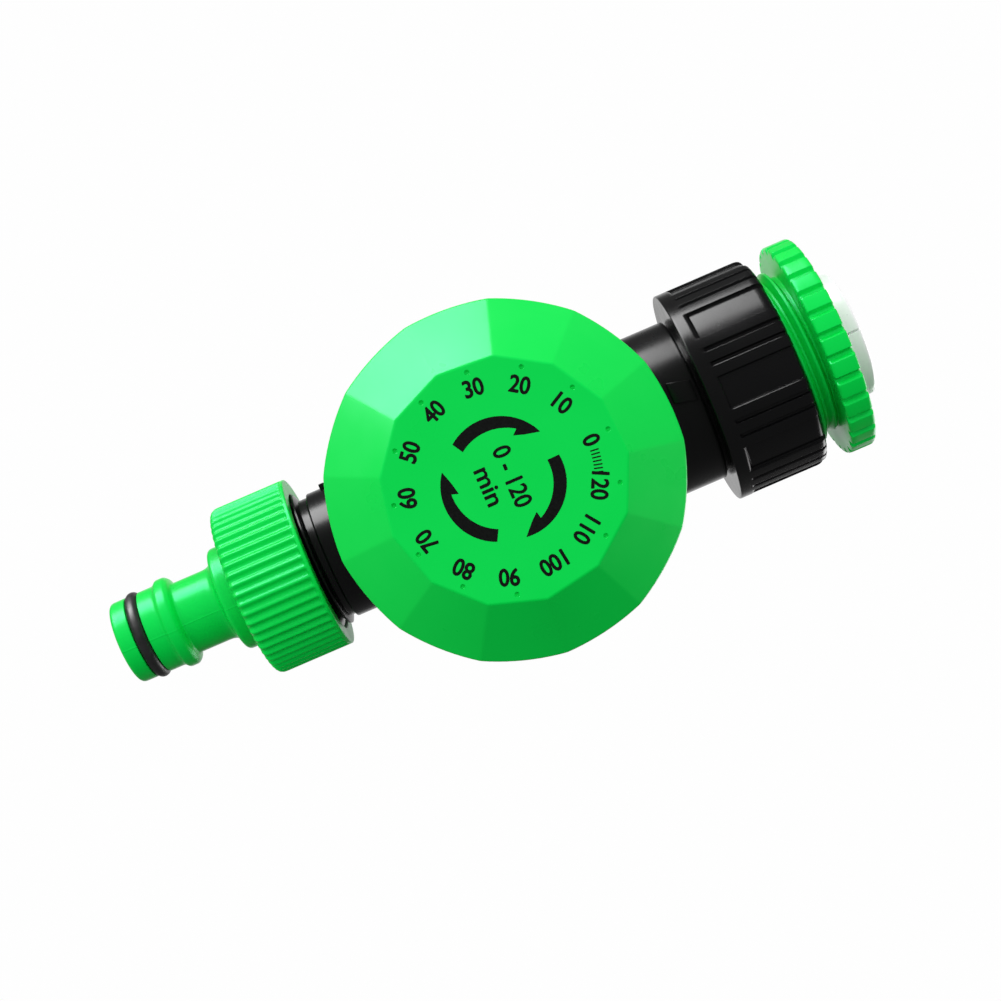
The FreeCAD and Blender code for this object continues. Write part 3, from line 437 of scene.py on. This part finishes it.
def dial_cap():
    """The faceted knob: flat face, sloping facets, bowed edge and a short skirt."""
    back, front = depths("dial")
    front -= PRINT_THICK
    edge_level = back + SKIRT
    reach = EDGE_CORNER
    per_side = 10
    outer_levels = ((FACE_CORNER, 0, front), (reach, 1, edge_level), (reach, 1, back))
    inner_levels = (
        (reach - 1.95, back),
        (reach - 2.1, edge_level - 1.2),
        (FACE_CORNER - 2.5, front - WALL),
    )

    def ring_of(work, corner, bow, level):
        ring = []
        for side in range(SIDES):
            for step in range(per_side):
                flat = polygon_point(corner, side, step / per_side, bow)
                ring.append(work.verts.new((flat.x * MM, -level * MM, AXIS + flat.y * MM)))
        return ring

    def round_ring(work, radius, level):
        count = SIDES * per_side
        start = math.radians(RIDGE_ANGLE)
        return [
            work.verts.new(spot("dial", radius, level, start + 2 * math.pi * index / count))
            for index in range(count)
        ]

    def build(work):
        rings = [ring_of(work, *level) for level in outer_levels]
        rings += [round_ring(work, *level) for level in inner_levels]
        for upper, lower in zip(rings, rings[1:]):
            for index in range(len(upper)):
                after = (index + 1) % len(upper)
                work.faces.new((upper[index], upper[after], lower[after], lower[index]))
        work.faces.new(rings[0])
        work.faces.new(list(reversed(rings[-1])))
        bmesh.ops.recalc_face_normals(work, faces=work.faces)
        outer_rings = rings[:len(outer_levels)]
        face_ring, edge_ring, back_ring = outer_rings
        sharp = []
        for side in range(SIDES):
            corner = side * per_side
            sharp.append(work.edges.get((face_ring[corner], edge_ring[corner])))
            sharp.append(work.edges.get((edge_ring[corner], back_ring[corner])))
        for ring in outer_rings:
            for index in range(len(ring)):
                sharp.append(work.edges.get((ring[index], ring[(index + 1) % len(ring)])))
        bmesh.ops.bevel(
            work, geom=sharp, offset=0.32 * MM, offset_type="OFFSET", segments=3,
            profile=0.5, affect="EDGES", clamp_overlap=True,
        )

    mesh = mesh_from("dial_cap", build)
    cap = add_piece("dial_cap", mesh, "dial", "green_plastic", ("dial",), smooth=50)
    cut_dimples(cap, front)
    weighted = cap.modifiers.new("Weighted", "WEIGHTED_NORMAL")
    weighted.keep_sharp = True
    weighted.weight = 100


def evaluated_mesh(thing):
    """The mesh of an object as its modifiers or its type make it."""
    bpy.context.view_layer.update()
    graph = bpy.context.evaluated_depsgraph_get()
    return bpy.data.meshes.new_from_object(thing.evaluated_get(graph))


def cut_dimples(cap, front):
    """A round dimple beside every number except 100."""
    cutters = []
    for number in range(SIDES):
        if number == 10:
            continue
        angle = math.radians(RIDGE_ANGLE + 360 / SIDES * (number + 0.5))
        place = spot("dial", DIMPLE_RING, front + 0.02, angle)
        bpy.ops.mesh.primitive_uv_sphere_add(
            radius=DIMPLE_RADIUS * MM, segments=24, ring_count=12, location=place)
        cutters.append(bpy.context.object)
    with bpy.context.temp_override(active_object=cutters[0], selected_editable_objects=cutters):
        bpy.ops.object.join()
    cutter = cutters[0]
    cut = cap.modifiers.new("Dimples", "BOOLEAN")
    cut.operation = "DIFFERENCE"
    cut.solver = "EXACT"
    cut.object = cutter
    shaped = evaluated_mesh(cap)
    cap.modifiers.clear()
    cap.data = shaped
    bpy.data.objects.remove(cutter)


def dial_hub():
    """Hub that the shaft enters, behind the face."""
    front = depths("dial")[1]
    low, high = front - 6.4, front - WALL
    bore, outside = 2.52, 4.6
    profile = rounded([(bore, low), (outside, low, 0.3), (outside, high), (bore, high)])
    turned("dial_hub", profile, "dial", "green_plastic", axis="dial", segments=64)


def sized_by(wide, tall, centre):
    """Scaling about a centre that moves to the origin."""
    return Matrix.Diagonal((wide, tall, 1, 1)) @ Matrix.Translation(-centre)


def print_text(words, height, width, place, turn, weight):
    """Figures or a word as a flat mesh: place is (right, up) in millimetres from the dial's centre.

    With no width given, the built-in font's own is narrowed. The print is laid down several times,
    each time shifted by the weight, to thicken its strokes.
    """
    curve = bpy.data.curves.new("word", "FONT")
    curve.body = words
    curve.size = 1
    curve.resolution_u = 6
    thing = bpy.data.objects.new("word", curve)
    bpy.context.scene.collection.objects.link(thing)
    mesh = evaluated_mesh(thing)
    bpy.data.objects.remove(thing)
    across = [corner.co.x for corner in mesh.vertices]
    upwards = [corner.co.y for corner in mesh.vertices]
    centre = Vector(((min(across) + max(across)) / 2, (min(upwards) + max(upwards)) / 2, 0))
    tall = height * MM / (max(upwards) - min(upwards))
    wide = width * MM / (max(across) - min(across)) if width else tall * NARROW
    shifts = 8
    layer_thick = 0.0004
    copies = []
    for step in range(shifts):
        angle = 2 * math.pi * step / shifts
        layer = mesh.copy()
        shift_x, shift_y = weight * math.cos(angle), weight * math.sin(angle)
        aside = Vector((shift_x, shift_y, layer_thick * step)) * MM
        layer.transform(Matrix.Translation(aside) @ sized_by(wide, tall, centre))
        copies.append(layer)
    mesh = joined("word", copies)
    upright = Matrix.Rotation(math.radians(90), 4, "X")
    roll = Matrix.Rotation(-turn, 4, "Y")
    front = depths("dial")[1]
    shift = Matrix.Translation(Vector((place[0] * MM, -front * MM, AXIS + place[1] * MM)))
    mesh.transform(shift @ roll @ upright)
    return mesh


def joined(name, meshes):
    """Several meshes as one."""
    def build(work):
        for mesh in meshes:
            work.from_mesh(mesh)
    return mesh_from(name, build)


def flat_shape(outline_points):
    """A flat printed shape from points (right, up) in millimetres from the dial's centre."""
    front = depths("dial")[1]

    def build(work):
        corners = [(x * MM, -front * MM, AXIS + y * MM) for x, y in outline_points]
        work.faces.new([work.verts.new(corner) for corner in corners])
    return mesh_from("shape", build)


def around(radius, degrees):
    """A printed point at a radius and angle from the centre of the print."""
    angle = math.radians(degrees)
    return PRINT_CENTRE + Vector((radius * math.cos(angle), radius * math.sin(angle)))


def dial_numbers():
    """0 to 120 in tens, tops outwards."""
    pitch = 360 / SIDES
    weight = 0.11
    words = []
    for number in range(SIDES):
        degrees = FIRST_NUMBER_ANGLE + pitch * number
        place = around(NUMBER_RING, degrees)
        turn = math.radians(degrees - 90)
        words.append(print_text(str(number * 10), NUMBER_HEIGHT, None, place, turn, weight))
    add_piece("dial_numbers", joined("dial_numbers", words), "dial", "ink")


def dial_ticks():
    """A short row of fine strokes between 120 and 0."""
    middle_angle = FIRST_NUMBER_ANGLE - 180 / SIDES + 1
    spacing = 2.2
    half = 0.42
    inner = 15.4
    outer = 16.9
    strokes = []
    for count in range(-3, 4):
        degrees = middle_angle + spacing * count
        corners = [(inner, -half), (inner, half), (outer, half), (outer, -half)]
        strokes.append(flat_shape([around(radius, degrees + aside) for radius, aside in corners]))
    add_piece("dial_ticks", joined("dial_ticks", strokes), "dial", "ink")


def arrow_outline(tail):
    """A curved clockwise arrow with one inner barb; its angles are degrees from the tail."""
    steps = 24
    tip = -92.2
    joint = -69.4
    tail_outer, tip_outer = 10.35, 10.3
    tail_inner, joint_inner = 8.2, 8.95
    barb = ((8.5, -80.0), (7.73, -67.8))
    points = []
    for step in range(steps + 1):
        share = step / steps
        bulge = 0.475 * (1 - (2 * share - 1) ** 2)
        radius = tail_outer + (tip_outer - tail_outer) * share + bulge
        points.append(around(radius, tail + tip * share))
    points += [around(radius, tail + degrees) for radius, degrees in barb]
    for step in range(steps + 1):
        share = 1 - step / steps
        radius = tail_inner + (joint_inner - tail_inner) * share
        points.append(around(radius, tail + joint * share))
    return points


def dial_arrows():
    """Three arrows in a ring, a third of a turn apart."""
    shapes = []
    first_tail = 91.5
    for tail in (first_tail + 120, first_tail, first_tail + 240):
        shapes.append(flat_shape(arrow_outline(tail)))
    add_piece("dial_arrows", joined("dial_arrows", shapes), "dial", "ink")


def dial_range():
    """The dial's range and its unit, in two lines."""
    weight = 0.09
    first_line = PRINT_CENTRE + Vector((0, 1.75))
    second_line = PRINT_CENTRE + Vector((0, -2.6))
    words = [
        print_text("0 - 120", 3.0, 10.6, first_line, 0, weight),
        print_text("min", 2.7, 6.4, second_line, 0, weight),
    ]
    add_piece("dial_range", joined("dial_range", words), "dial", "ink")


# ------------------------------------------------------------------ inlet

def chrome_nose():
    """Plated reducer with the tap's thread inside."""
    low, high = stations("tap_reducer")
    foot, outside, inside, way = 13.0, 12.0, 9.9, 7.0
    seat = low + 2
    profile = rounded([
        (way, low), (foot, low, 0.3), (foot, high - 5.3, 0.3), (outside, high - 4.5, 0.3),
        (outside, high, 0.7), (inside + 0.45, high, 0.25), (inside, high - 0.6, 0.1),
        (inside, seat), (way, seat),
    ], closed=True)
    seam_angle = -89
    seam_depth = 0.5

    def seam(angle, radius, station):
        split = groove(off_centre(angle, seam_angle, 360), 0.6, 0.3)
        outer = smoothstep(outside - 1.0, outside - 0.5, radius)
        upper = smoothstep(high - 4.4, high - 4.2, station)
        return radius - seam_depth * split * outer * upper

    turned("chrome_nose", fine(profile, 0.4), "inlet_coupling", "chrome", ("tap_reducer",),
           segments=900, reshape=seam)
    root = inside + 0.05
    crest = 9.3155
    female_thread("tap_thread_helix", root, crest, TAP_PITCH, high - 12, high - 0.8,
                  "inlet_coupling", "chrome")


def female_thread(name, root, crest, pitch, low, high, body, slot):
    """Thread inside a bore: the ridge points inwards, in shares as for helix_ridge."""
    turns = (high - low) / pitch
    steps = int(turns * 72)
    fade = 0.3
    shape = ((-0.4, 0.0), (-0.12, 0.9), (0.0, 1.0), (0.12, 0.9), (0.4, 0.0))

    def build(work):
        rows = []
        for step in range(steps + 1):
            turn = turns * step / steps
            lift = min(smoothstep(0, fade, turn), smoothstep(0, fade, turns - turn))
            row = []
            for along, inwards in shape:
                radius = root - (root - crest) * inwards * lift
                level = low + pitch * (turn + along)
                row.append(work.verts.new(spot("flow", radius, level, 2 * math.pi * turn)))
            rows.append(row)
        for before, after in zip(rows, rows[1:]):
            for index in range(len(shape) - 1):
                work.faces.new((before[index], after[index], after[index + 1], before[index + 1]))

    add_piece(name, mesh_from(name, build), body, slot, smooth=30)


def green_adapter():
    """Gripping ring with 30 lands, and the union thread below it."""
    low, high = stations("thread_adapter")
    reach = radius_of("thread_adapter")
    ring_low = high - 5.0
    seat = stations("tap_reducer")[0] - 2.0
    bore, pocket = 9.5, 13.1
    root = 15.15
    crest = reach - 4.15
    profile = rounded([
        (bore, low), (root, low, 0.3), (root, ring_low, 0.25), (reach, ring_low, 0.7),
        (reach, high, 0.8), (pocket, high, 0.15), (pocket, seat), (bore, seat),
    ], closed=True)
    profile = fine(profile, 0.6)
    pitch = 360 / 30
    first_notch = 8.7 - 90
    notch_depth = 0.75

    def lands(angle, radius, station):
        depth = notch_depth * groove(off_centre(angle, first_notch, pitch), 1.5, 0.75)
        return radius - depth * smoothstep(reach - 2.2, reach - 0.6, radius)

    turned("green_adapter", profile, "inlet_coupling", "green_plastic", ("thread_adapter",),
           segments=720, reshape=lands)
    helix_ridge("union_thread", root, crest, UNION_PITCH, low + 1.2, ring_low - 0.6,
                "inlet_coupling", "green_plastic", start=math.radians(40))


def black_union_nut():
    """Union nut: nine groups of three ribs between recessed panels."""
    low, high = stations("inlet_nut")
    reach = radius_of("inlet_nut")
    bore, inside = 14.58, 16.75
    web = low + 3.4
    profile = rounded([
        (bore, low), (reach, low, 0.3), (reach, high, 1.8), (inside + 0.35, high, 0.3),
        (inside, high - 0.6, 0.1), (inside, web), (bore, web),
    ], closed=True)
    profile = fine(profile, 0.35)
    band = low + 2.7
    pitch = 360 / 9
    first_group = 23.2 - 90
    panel_depth = 0.62

    def ribs(angle, radius, station):
        away = off_centre(angle, first_group, pitch)
        panel = 1 - groove(away, 11.3, 0.25)
        slot = groove(abs(away - 4.1), 0.95, 0.25)
        cut = panel_depth * max(panel, slot) * smoothstep(band - 0.1, band + 0.25, station)
        return radius - cut * smoothstep(reach - 2.4, reach - 1.0, radius)

    turned("black_union_nut", profile, "inlet_coupling", "black_plastic", ("inlet_nut",),
           segments=960, reshape=ribs)


# ------------------------------------------------------------------ casing

def black_case():
    """Round case, inlet neck and outlet neck, which are one moulding."""
    low, high = stations("valve_body")
    back, front = depths("valve_body")
    inside, outside = 27.0, 29.0
    deck_front, deck_back = front - 4.5, front - 6.7
    case = rounded([
        (0, deck_front), (inside, deck_front, 0.3), (inside, front, 0.2), (outside, front, 0.7),
        (outside, back, 0.5), (inside, back, 0.2), (inside, deck_back), (0, deck_back),
    ])
    turned("round_case", case, "timer_body", "black_plastic", ("valve_body",), axis="dial")
    neck_inner_end = 14
    bore, neck, spigot, recess = 10.5, 15.7, 14.5, 12.6
    shoulder, seat = high - 8.9, high - 1.4
    inlet = rounded([
        (bore, neck_inner_end), (neck, neck_inner_end), (neck, shoulder, 0.5),
        (spigot, shoulder, 0.1), (spigot, high, 0.4), (recess, high, 0.1), (recess, seat),
        (bore, seat),
    ], closed=True)
    turned("inlet_neck", inlet, "timer_body", "black_plastic", ("valve_body",))
    key()
    bore, root, crest, neck = 8.6, 11.75, 13.1, 12.35
    outlet = rounded([
        (bore, low), (root, low, 0.3), (root, -35.6, 0.15), (neck, -35.4, 0.15),
        (neck, -neck_inner_end), (bore, -neck_inner_end),
    ], closed=True)
    turned("outlet_neck", outlet, "timer_body", "black_plastic", ("valve_body",))
    helix_ridge("outlet_thread", root, crest, TAP_PITCH, low + 0.6, -36.2, "timer_body",
                "black_plastic", start=math.radians(200))
    neck_lug()


def neck_lug():
    """Moulded lug on the left of the outlet neck, close to the dial."""
    size = Vector((1.2, 2.4, 1.1))
    place = Vector((-12.5, -1.5, AXIS / MM - 32.0))

    def build(work):
        lug = bmesh.ops.create_cube(work, size=1)
        bmesh.ops.scale(work, verts=lug["verts"], vec=size * MM)
        bmesh.ops.translate(work, verts=lug["verts"], vec=place * MM)
        soften(work, 0.2)
    mesh = mesh_from("neck_lug", build)
    add_piece("neck_lug", mesh, "timer_body", "black_plastic", smooth=40)


def key():
    """Small slanting key on the front of the inlet neck."""
    outline_points = [(-4.6, 33.0), (-0.6, 33.0), (0.4, 37.2), (-3.6, 37.2)]
    top_level, base_level = 16.35, 14.6

    def build(work):
        top, base = (
            [work.verts.new((x * MM, -level * MM, AXIS + z * MM)) for x, z in outline_points]
            for level in (top_level, base_level)
        )
        work.faces.new(top)
        work.faces.new(list(reversed(base)))
        for index in range(4):
            after = (index + 1) % 4
            work.faces.new((top[index], base[index], base[after], top[after]))
        soften(work, 0.18)
    mesh = mesh_from("neck_key", build)
    add_piece("neck_key", mesh, "timer_body", "black_plastic", smooth=40)


# ------------------------------------------------------------------ valve

def valve_spring():
    """Compression spring behind the valve disc; the real spring shortens as the plunger lifts, but
    this mesh keeps one length.
    """
    low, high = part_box("valve_spring")
    wire = 0.35 * MM
    pitch = 1.55 * MM
    corners = 10
    coil = (high.x - low.x) / 2 - wire
    length = high.y - low.y
    turns = round((length - 2 * wire) / pitch)
    steps = 36 * turns

    def build(work):
        rings = []
        for step in range(steps + 1):
            angle = 2 * math.pi * turns * step / steps
            away = Vector((math.cos(angle), 0, math.sin(angle)))
            depth = low.y + wire + (length - 2 * wire) * step / steps
            centre = Vector((0, depth, AXIS)) + away * coil
            ring = []
            for corner in range(corners):
                lean = 2 * math.pi * corner / corners
                offset = away * math.cos(lean) + Vector((0, math.sin(lean), 0))
                ring.append(work.verts.new(centre + offset * wire))
            rings.append(ring)
        for first, second in zip(rings, rings[1:]):
            for corner in range(corners):
                after = (corner + 1) % corners
                work.faces.new((first[corner], first[after], second[after], second[corner]))
        work.faces.new(list(reversed(rings[0])))
        work.faces.new(rings[-1])
    mesh = mesh_from("valve_spring_coils", build)
    piece = add_piece("valve_spring_coils", mesh, "timer_body", "steel", ("valve_spring",))
    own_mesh(piece)


# ------------------------------------------------------------------ outlet

def green_outlet_nut():
    """Clamping nut with 54 narrow ribs."""
    low, high = stations("outlet_nut")
    reach = radius_of("outlet_nut")
    bore, inside = 10.2, 13.4
    web = low + 2.2
    profile = rounded([
        (bore, low, 0.1), (reach, low, 1.5), (reach, high, 0.35), (inside + 0.2, high, 0.2),
        (inside, high - 0.8, 0.1), (inside, web), (bore, web),
    ], closed=True)
    profile = fine(profile, 0.3)
    count = 54
    valley_depth = 0.5

    def ribs(angle, radius, station):
        valley = 1 - abs(math.sin(count / 2 * angle)) ** 2.5
        depth = valley_depth * valley * (1 - smoothstep(high - 1.0, high - 0.6, station))
        return radius - depth * smoothstep(reach - 2.0, reach - 0.8, radius)

    turned("green_outlet_nut", profile, "outlet_nut", "green_plastic", ("outlet_nut",),
           segments=1080, reshape=ribs)


def green_nipple():
    """Shoulder, neck, latch collar, O-ring groove and tip, with the mould's parting line."""
    low, high = stations("outlet_nipple")
    way, flange, shoulder, neck, collar, trench, tip = 5.5, 12, 10.1, 7.0, 8.75, 6.1, 7.95
    trench_high, trench_low = -71.9, -74.4
    profile = rounded([
        (way, high), (flange, high, 0.2), (flange, high - 1.8, 0.2), (shoulder, high - 1.8, 0.1),
        (shoulder, -56.6, 0.8), (7.9, -57.2, 0.5), (7.25, -57.8, 0.6), (neck, -58.8, 0.8),
        (neck, -65.3, 0.4), (8.1, -65.7, 0.3), (collar, -66.4, 0.4), (collar, -68.0, 0.4),
        (8.1, -68.6, 0.3), (tip, -69.1, 0.2), (tip, trench_high, 0.2), (trench, trench_high, 0.2),
        (trench, trench_low, 0.2), (tip, trench_low, 0.2), (tip, low, 1.3), (5.8, low, 0.2),
        (way, low + 0.3, 0.1),
    ], closed=True)
    profile = fine(profile, 0.5)
    line_angle = -81
    line_height = 0.05

    def parting(angle, radius, station):
        away = off_centre(angle, line_angle, 180) * math.radians(1) * radius
        outer = smoothstep(trench - 0.2, trench - 0.1, radius)
        return radius + line_height * groove(away, 0.08, 0.07) * outer

    turned("green_nipple", profile, "timer_body", "green_plastic", ("outlet_nipple",),
           segments=720, reshape=parting)


# ------------------------------------------------------------------ studio

# lens in millimetres; distance and offset in metres, from the middle of the dial's face
LENS = 69.77
DISTANCE = 0.325
ROLL = math.radians(23.3)
TILT = (math.radians(-0.5), math.radians(0.7))
FACE_OFFSET = (0.84 * MM, 3.35 * MM)
BACKDROP_WHITE = (0.992, 0.992, 0.992, 1)


def camera():
    """Camera almost square to the dial, rolled so that the water path climbs to the right."""
    out = Vector((math.tan(TILT[0]), -1, math.tan(TILT[1]))).normalized()
    level = Vector((math.sin(ROLL), 0, math.cos(ROLL)))
    right = (level - out * level.dot(out)).normalized()
    up = out.cross(right)
    data = bpy.data.cameras.new("camera")
    data.sensor_width = 36
    data.lens = LENS
    data.clip_start = 0.01
    data.clip_end = 20
    eye = bpy.data.objects.new("camera", data)
    bpy.context.scene.collection.objects.link(eye)
    turn = Matrix((right, up, out)).transposed().to_4x4()
    face = Vector((0, -depths("dial")[1] * MM, AXIS))
    place = face - right * FACE_OFFSET[0] - up * FACE_OFFSET[1] + out * DISTANCE
    eye.matrix_world = Matrix.Translation(place) @ turn
    bpy.context.scene.camera = eye
    return right, up, out


def softbox(name, towards, distance, size, radiance, long_side):
    """Rectangular light that faces the dial; long_side is the direction of its second size."""
    data = bpy.data.lights.new(name, "AREA")
    data.shape = "RECTANGLE"
    data.size, data.size_y = size
    data.energy = radiance * math.pi * size[0] * size[1]
    thing = bpy.data.objects.new(name, data)
    bpy.context.scene.collection.objects.link(thing)
    back = towards.normalized()
    side = long_side.cross(back).normalized()
    turn = Matrix((side, back.cross(side), back)).transposed().to_4x4()
    thing.matrix_world = Matrix.Translation(Vector((0, 0, AXIS)) + back * distance) @ turn
    return thing


def in_view(degrees):
    """Direction in the picture's plane, counter-clockwise from its right."""
    angle = math.radians(degrees)
    return right * math.cos(angle) + up * math.sin(angle)


def lights():
    """Two softboxes for the highlights: a long one beside the timer and a dim one behind it.

    They show in reflections only; the matt light comes from the world.
    """
    distance = 0.6
    # name, degrees off the view, direction in the picture, size in metres, radiance
    boxes = [
        ("key", 80, 128, (0.62, 0.36), 15.5),
        ("back", 124, -7, (0.5, 0.5), 3.5),
    ]
    for name, from_view, turn, size, radiance in boxes:
        away = math.radians(from_view)
        towards = in_view(turn) * math.sin(away) + out * math.cos(away)
        box = softbox(name, towards, distance, size, radiance, out)
        box.visible_diffuse = False


def world():
    """White to the eye; a soft fill for matt light; a dim studio in the reflections.

    The fill is strongest on the side that the key light is on, and the reflected studio has a white
    wall behind the timer. Angles are in degrees.
    """
    fill_from, fill_slope, fill_level, fill_limit = 112, 1.25, 1.13, 1.95
    wall_edge, wall_middle = 36, 16
    room_strength, wall_strength = 0.16, 0.95
    space = bpy.data.worlds.new("studio")
    space.use_nodes = True
    tree = space.node_tree
    tree.nodes.clear()
    link = tree.links.new
    ray = tree.nodes.new("ShaderNodeLightPath")
    place = tree.nodes.new("ShaderNodeTexCoord")
    above = tree.nodes.new("ShaderNodeVectorMath")
    above.operation = "DOT_PRODUCT"
    above.inputs[1].default_value = in_view(fill_from)
    fill = tree.nodes.new("ShaderNodeMath")
    fill.operation = "MULTIPLY_ADD"
    fill.inputs[1].default_value = fill_slope
    fill.inputs[2].default_value = fill_level
    bounded = tree.nodes.new("ShaderNodeClamp")
    bounded.inputs["Max"].default_value = fill_limit
    link(place.outputs["Generated"], above.inputs[0])
    link(above.outputs["Value"], fill.inputs[0])
    link(fill.outputs["Value"], bounded.inputs["Value"])
    matt = tree.nodes.new("ShaderNodeBackground")
    link(bounded.outputs["Result"], matt.inputs["Strength"])
    behind = tree.nodes.new("ShaderNodeVectorMath")
    behind.operation = "DOT_PRODUCT"
    behind.inputs[1].default_value = -out
    backdrop = tree.nodes.new("ShaderNodeMapRange")
    backdrop.interpolation_type = "SMOOTHSTEP"
    backdrop.inputs["From Min"].default_value = math.cos(math.radians(wall_edge))
    backdrop.inputs["From Max"].default_value = math.cos(math.radians(wall_middle))
    backdrop.inputs["To Min"].default_value = room_strength
    backdrop.inputs["To Max"].default_value = wall_strength
    link(place.outputs["Generated"], behind.inputs[0])
    link(behind.outputs["Value"], backdrop.inputs["Value"])
    dim = tree.nodes.new("ShaderNodeBackground")
    link(backdrop.outputs["Result"], dim.inputs["Strength"])
    seen = tree.nodes.new("ShaderNodeBackground")
    seen.inputs["Color"].default_value = BACKDROP_WHITE
    for node in (matt, dim):
        node.inputs["Color"].default_value = (1, 1, 1, 1)
    reflected = tree.nodes.new("ShaderNodeMixShader")
    direct = tree.nodes.new("ShaderNodeMixShader")
    output = tree.nodes.new("ShaderNodeOutputWorld")
    link(ray.outputs["Is Diffuse Ray"], reflected.inputs["Fac"])
    link(dim.outputs["Background"], reflected.inputs[1])
    link(matt.outputs["Background"], reflected.inputs[2])
    link(ray.outputs["Is Camera Ray"], direct.inputs["Fac"])
    link(reflected.outputs["Shader"], direct.inputs[1])
    link(seen.outputs["Background"], direct.inputs[2])
    link(direct.outputs["Shader"], output.inputs["Surface"])
    bpy.context.scene.world = space


def floor():
    """Pale floor just below the nipple's tip; it fades to the white of the backdrop.

    Only the camera sees it. Near the middle a tenth of it is matt, and beyond the fade none is.
    """
    reach, fade_end, bright_share = 3.0, 0.12, 0.9
    mesh = bpy.data.meshes.new("floor")
    work = bmesh.new()
    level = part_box("outlet_nipple")[0].z - 0.4 * MM
    place = Matrix.Translation((0, 0, level))
    bmesh.ops.create_circle(work, cap_ends=True, radius=reach, segments=96, matrix=place)
    work.to_mesh(mesh)
    work.free()
    thing = bpy.data.objects.new("floor", mesh)
    bpy.context.scene.collection.objects.link(thing)
    material = bpy.data.materials.new("pale_floor")
    material.use_nodes = True
    tree = material.node_tree
    tree.nodes.clear()
    place = tree.nodes.new("ShaderNodeTexCoord")
    length = tree.nodes.new("ShaderNodeVectorMath")
    length.operation = "LENGTH"
    fade = tree.nodes.new("ShaderNodeMapRange")
    fade.inputs["From Min"].default_value = 0.0
    fade.inputs["From Max"].default_value = fade_end
    fade.inputs["To Min"].default_value = bright_share
    fade.inputs["To Max"].default_value = 1.0
    matt = tree.nodes.new("ShaderNodeBsdfDiffuse")
    matt.inputs["Color"].default_value = (0.9, 0.9, 0.9, 1)
    bright = tree.nodes.new("ShaderNodeEmission")
    bright.inputs["Color"].default_value = BACKDROP_WHITE
    clear = tree.nodes.new("ShaderNodeBsdfTransparent")
    ray = tree.nodes.new("ShaderNodeLightPath")
    mix = tree.nodes.new("ShaderNodeMixShader")
    seen = tree.nodes.new("ShaderNodeMixShader")
    output = tree.nodes.new("ShaderNodeOutputMaterial")
    link = tree.links.new
    link(place.outputs["Object"], length.inputs[0])
    link(length.outputs["Value"], fade.inputs["Value"])
    link(fade.outputs["Result"], mix.inputs["Fac"])
    link(matt.outputs["BSDF"], mix.inputs[1])
    link(bright.outputs["Emission"], mix.inputs[2])
    link(ray.outputs["Is Camera Ray"], seen.inputs["Fac"])
    link(clear.outputs["BSDF"], seen.inputs[1])
    link(mix.outputs["Shader"], seen.inputs[2])
    link(seen.outputs["Shader"], output.inputs["Surface"])
    mesh.materials.append(material)


# ------------------------------------------------------------------ the whole scene

dress_cad_nodes()
dial_cap()
dial_hub()
dial_numbers()
dial_ticks()
dial_arrows()
dial_range()
chrome_nose()
green_adapter()
black_union_nut()
black_case()
valve_spring()
green_outlet_nut()
green_nipple()

right, up, out = camera()
lights()
world()
floor()
scene = bpy.context.scene
scene.view_settings.view_transform = "Standard"
scene.view_settings.look = "None"
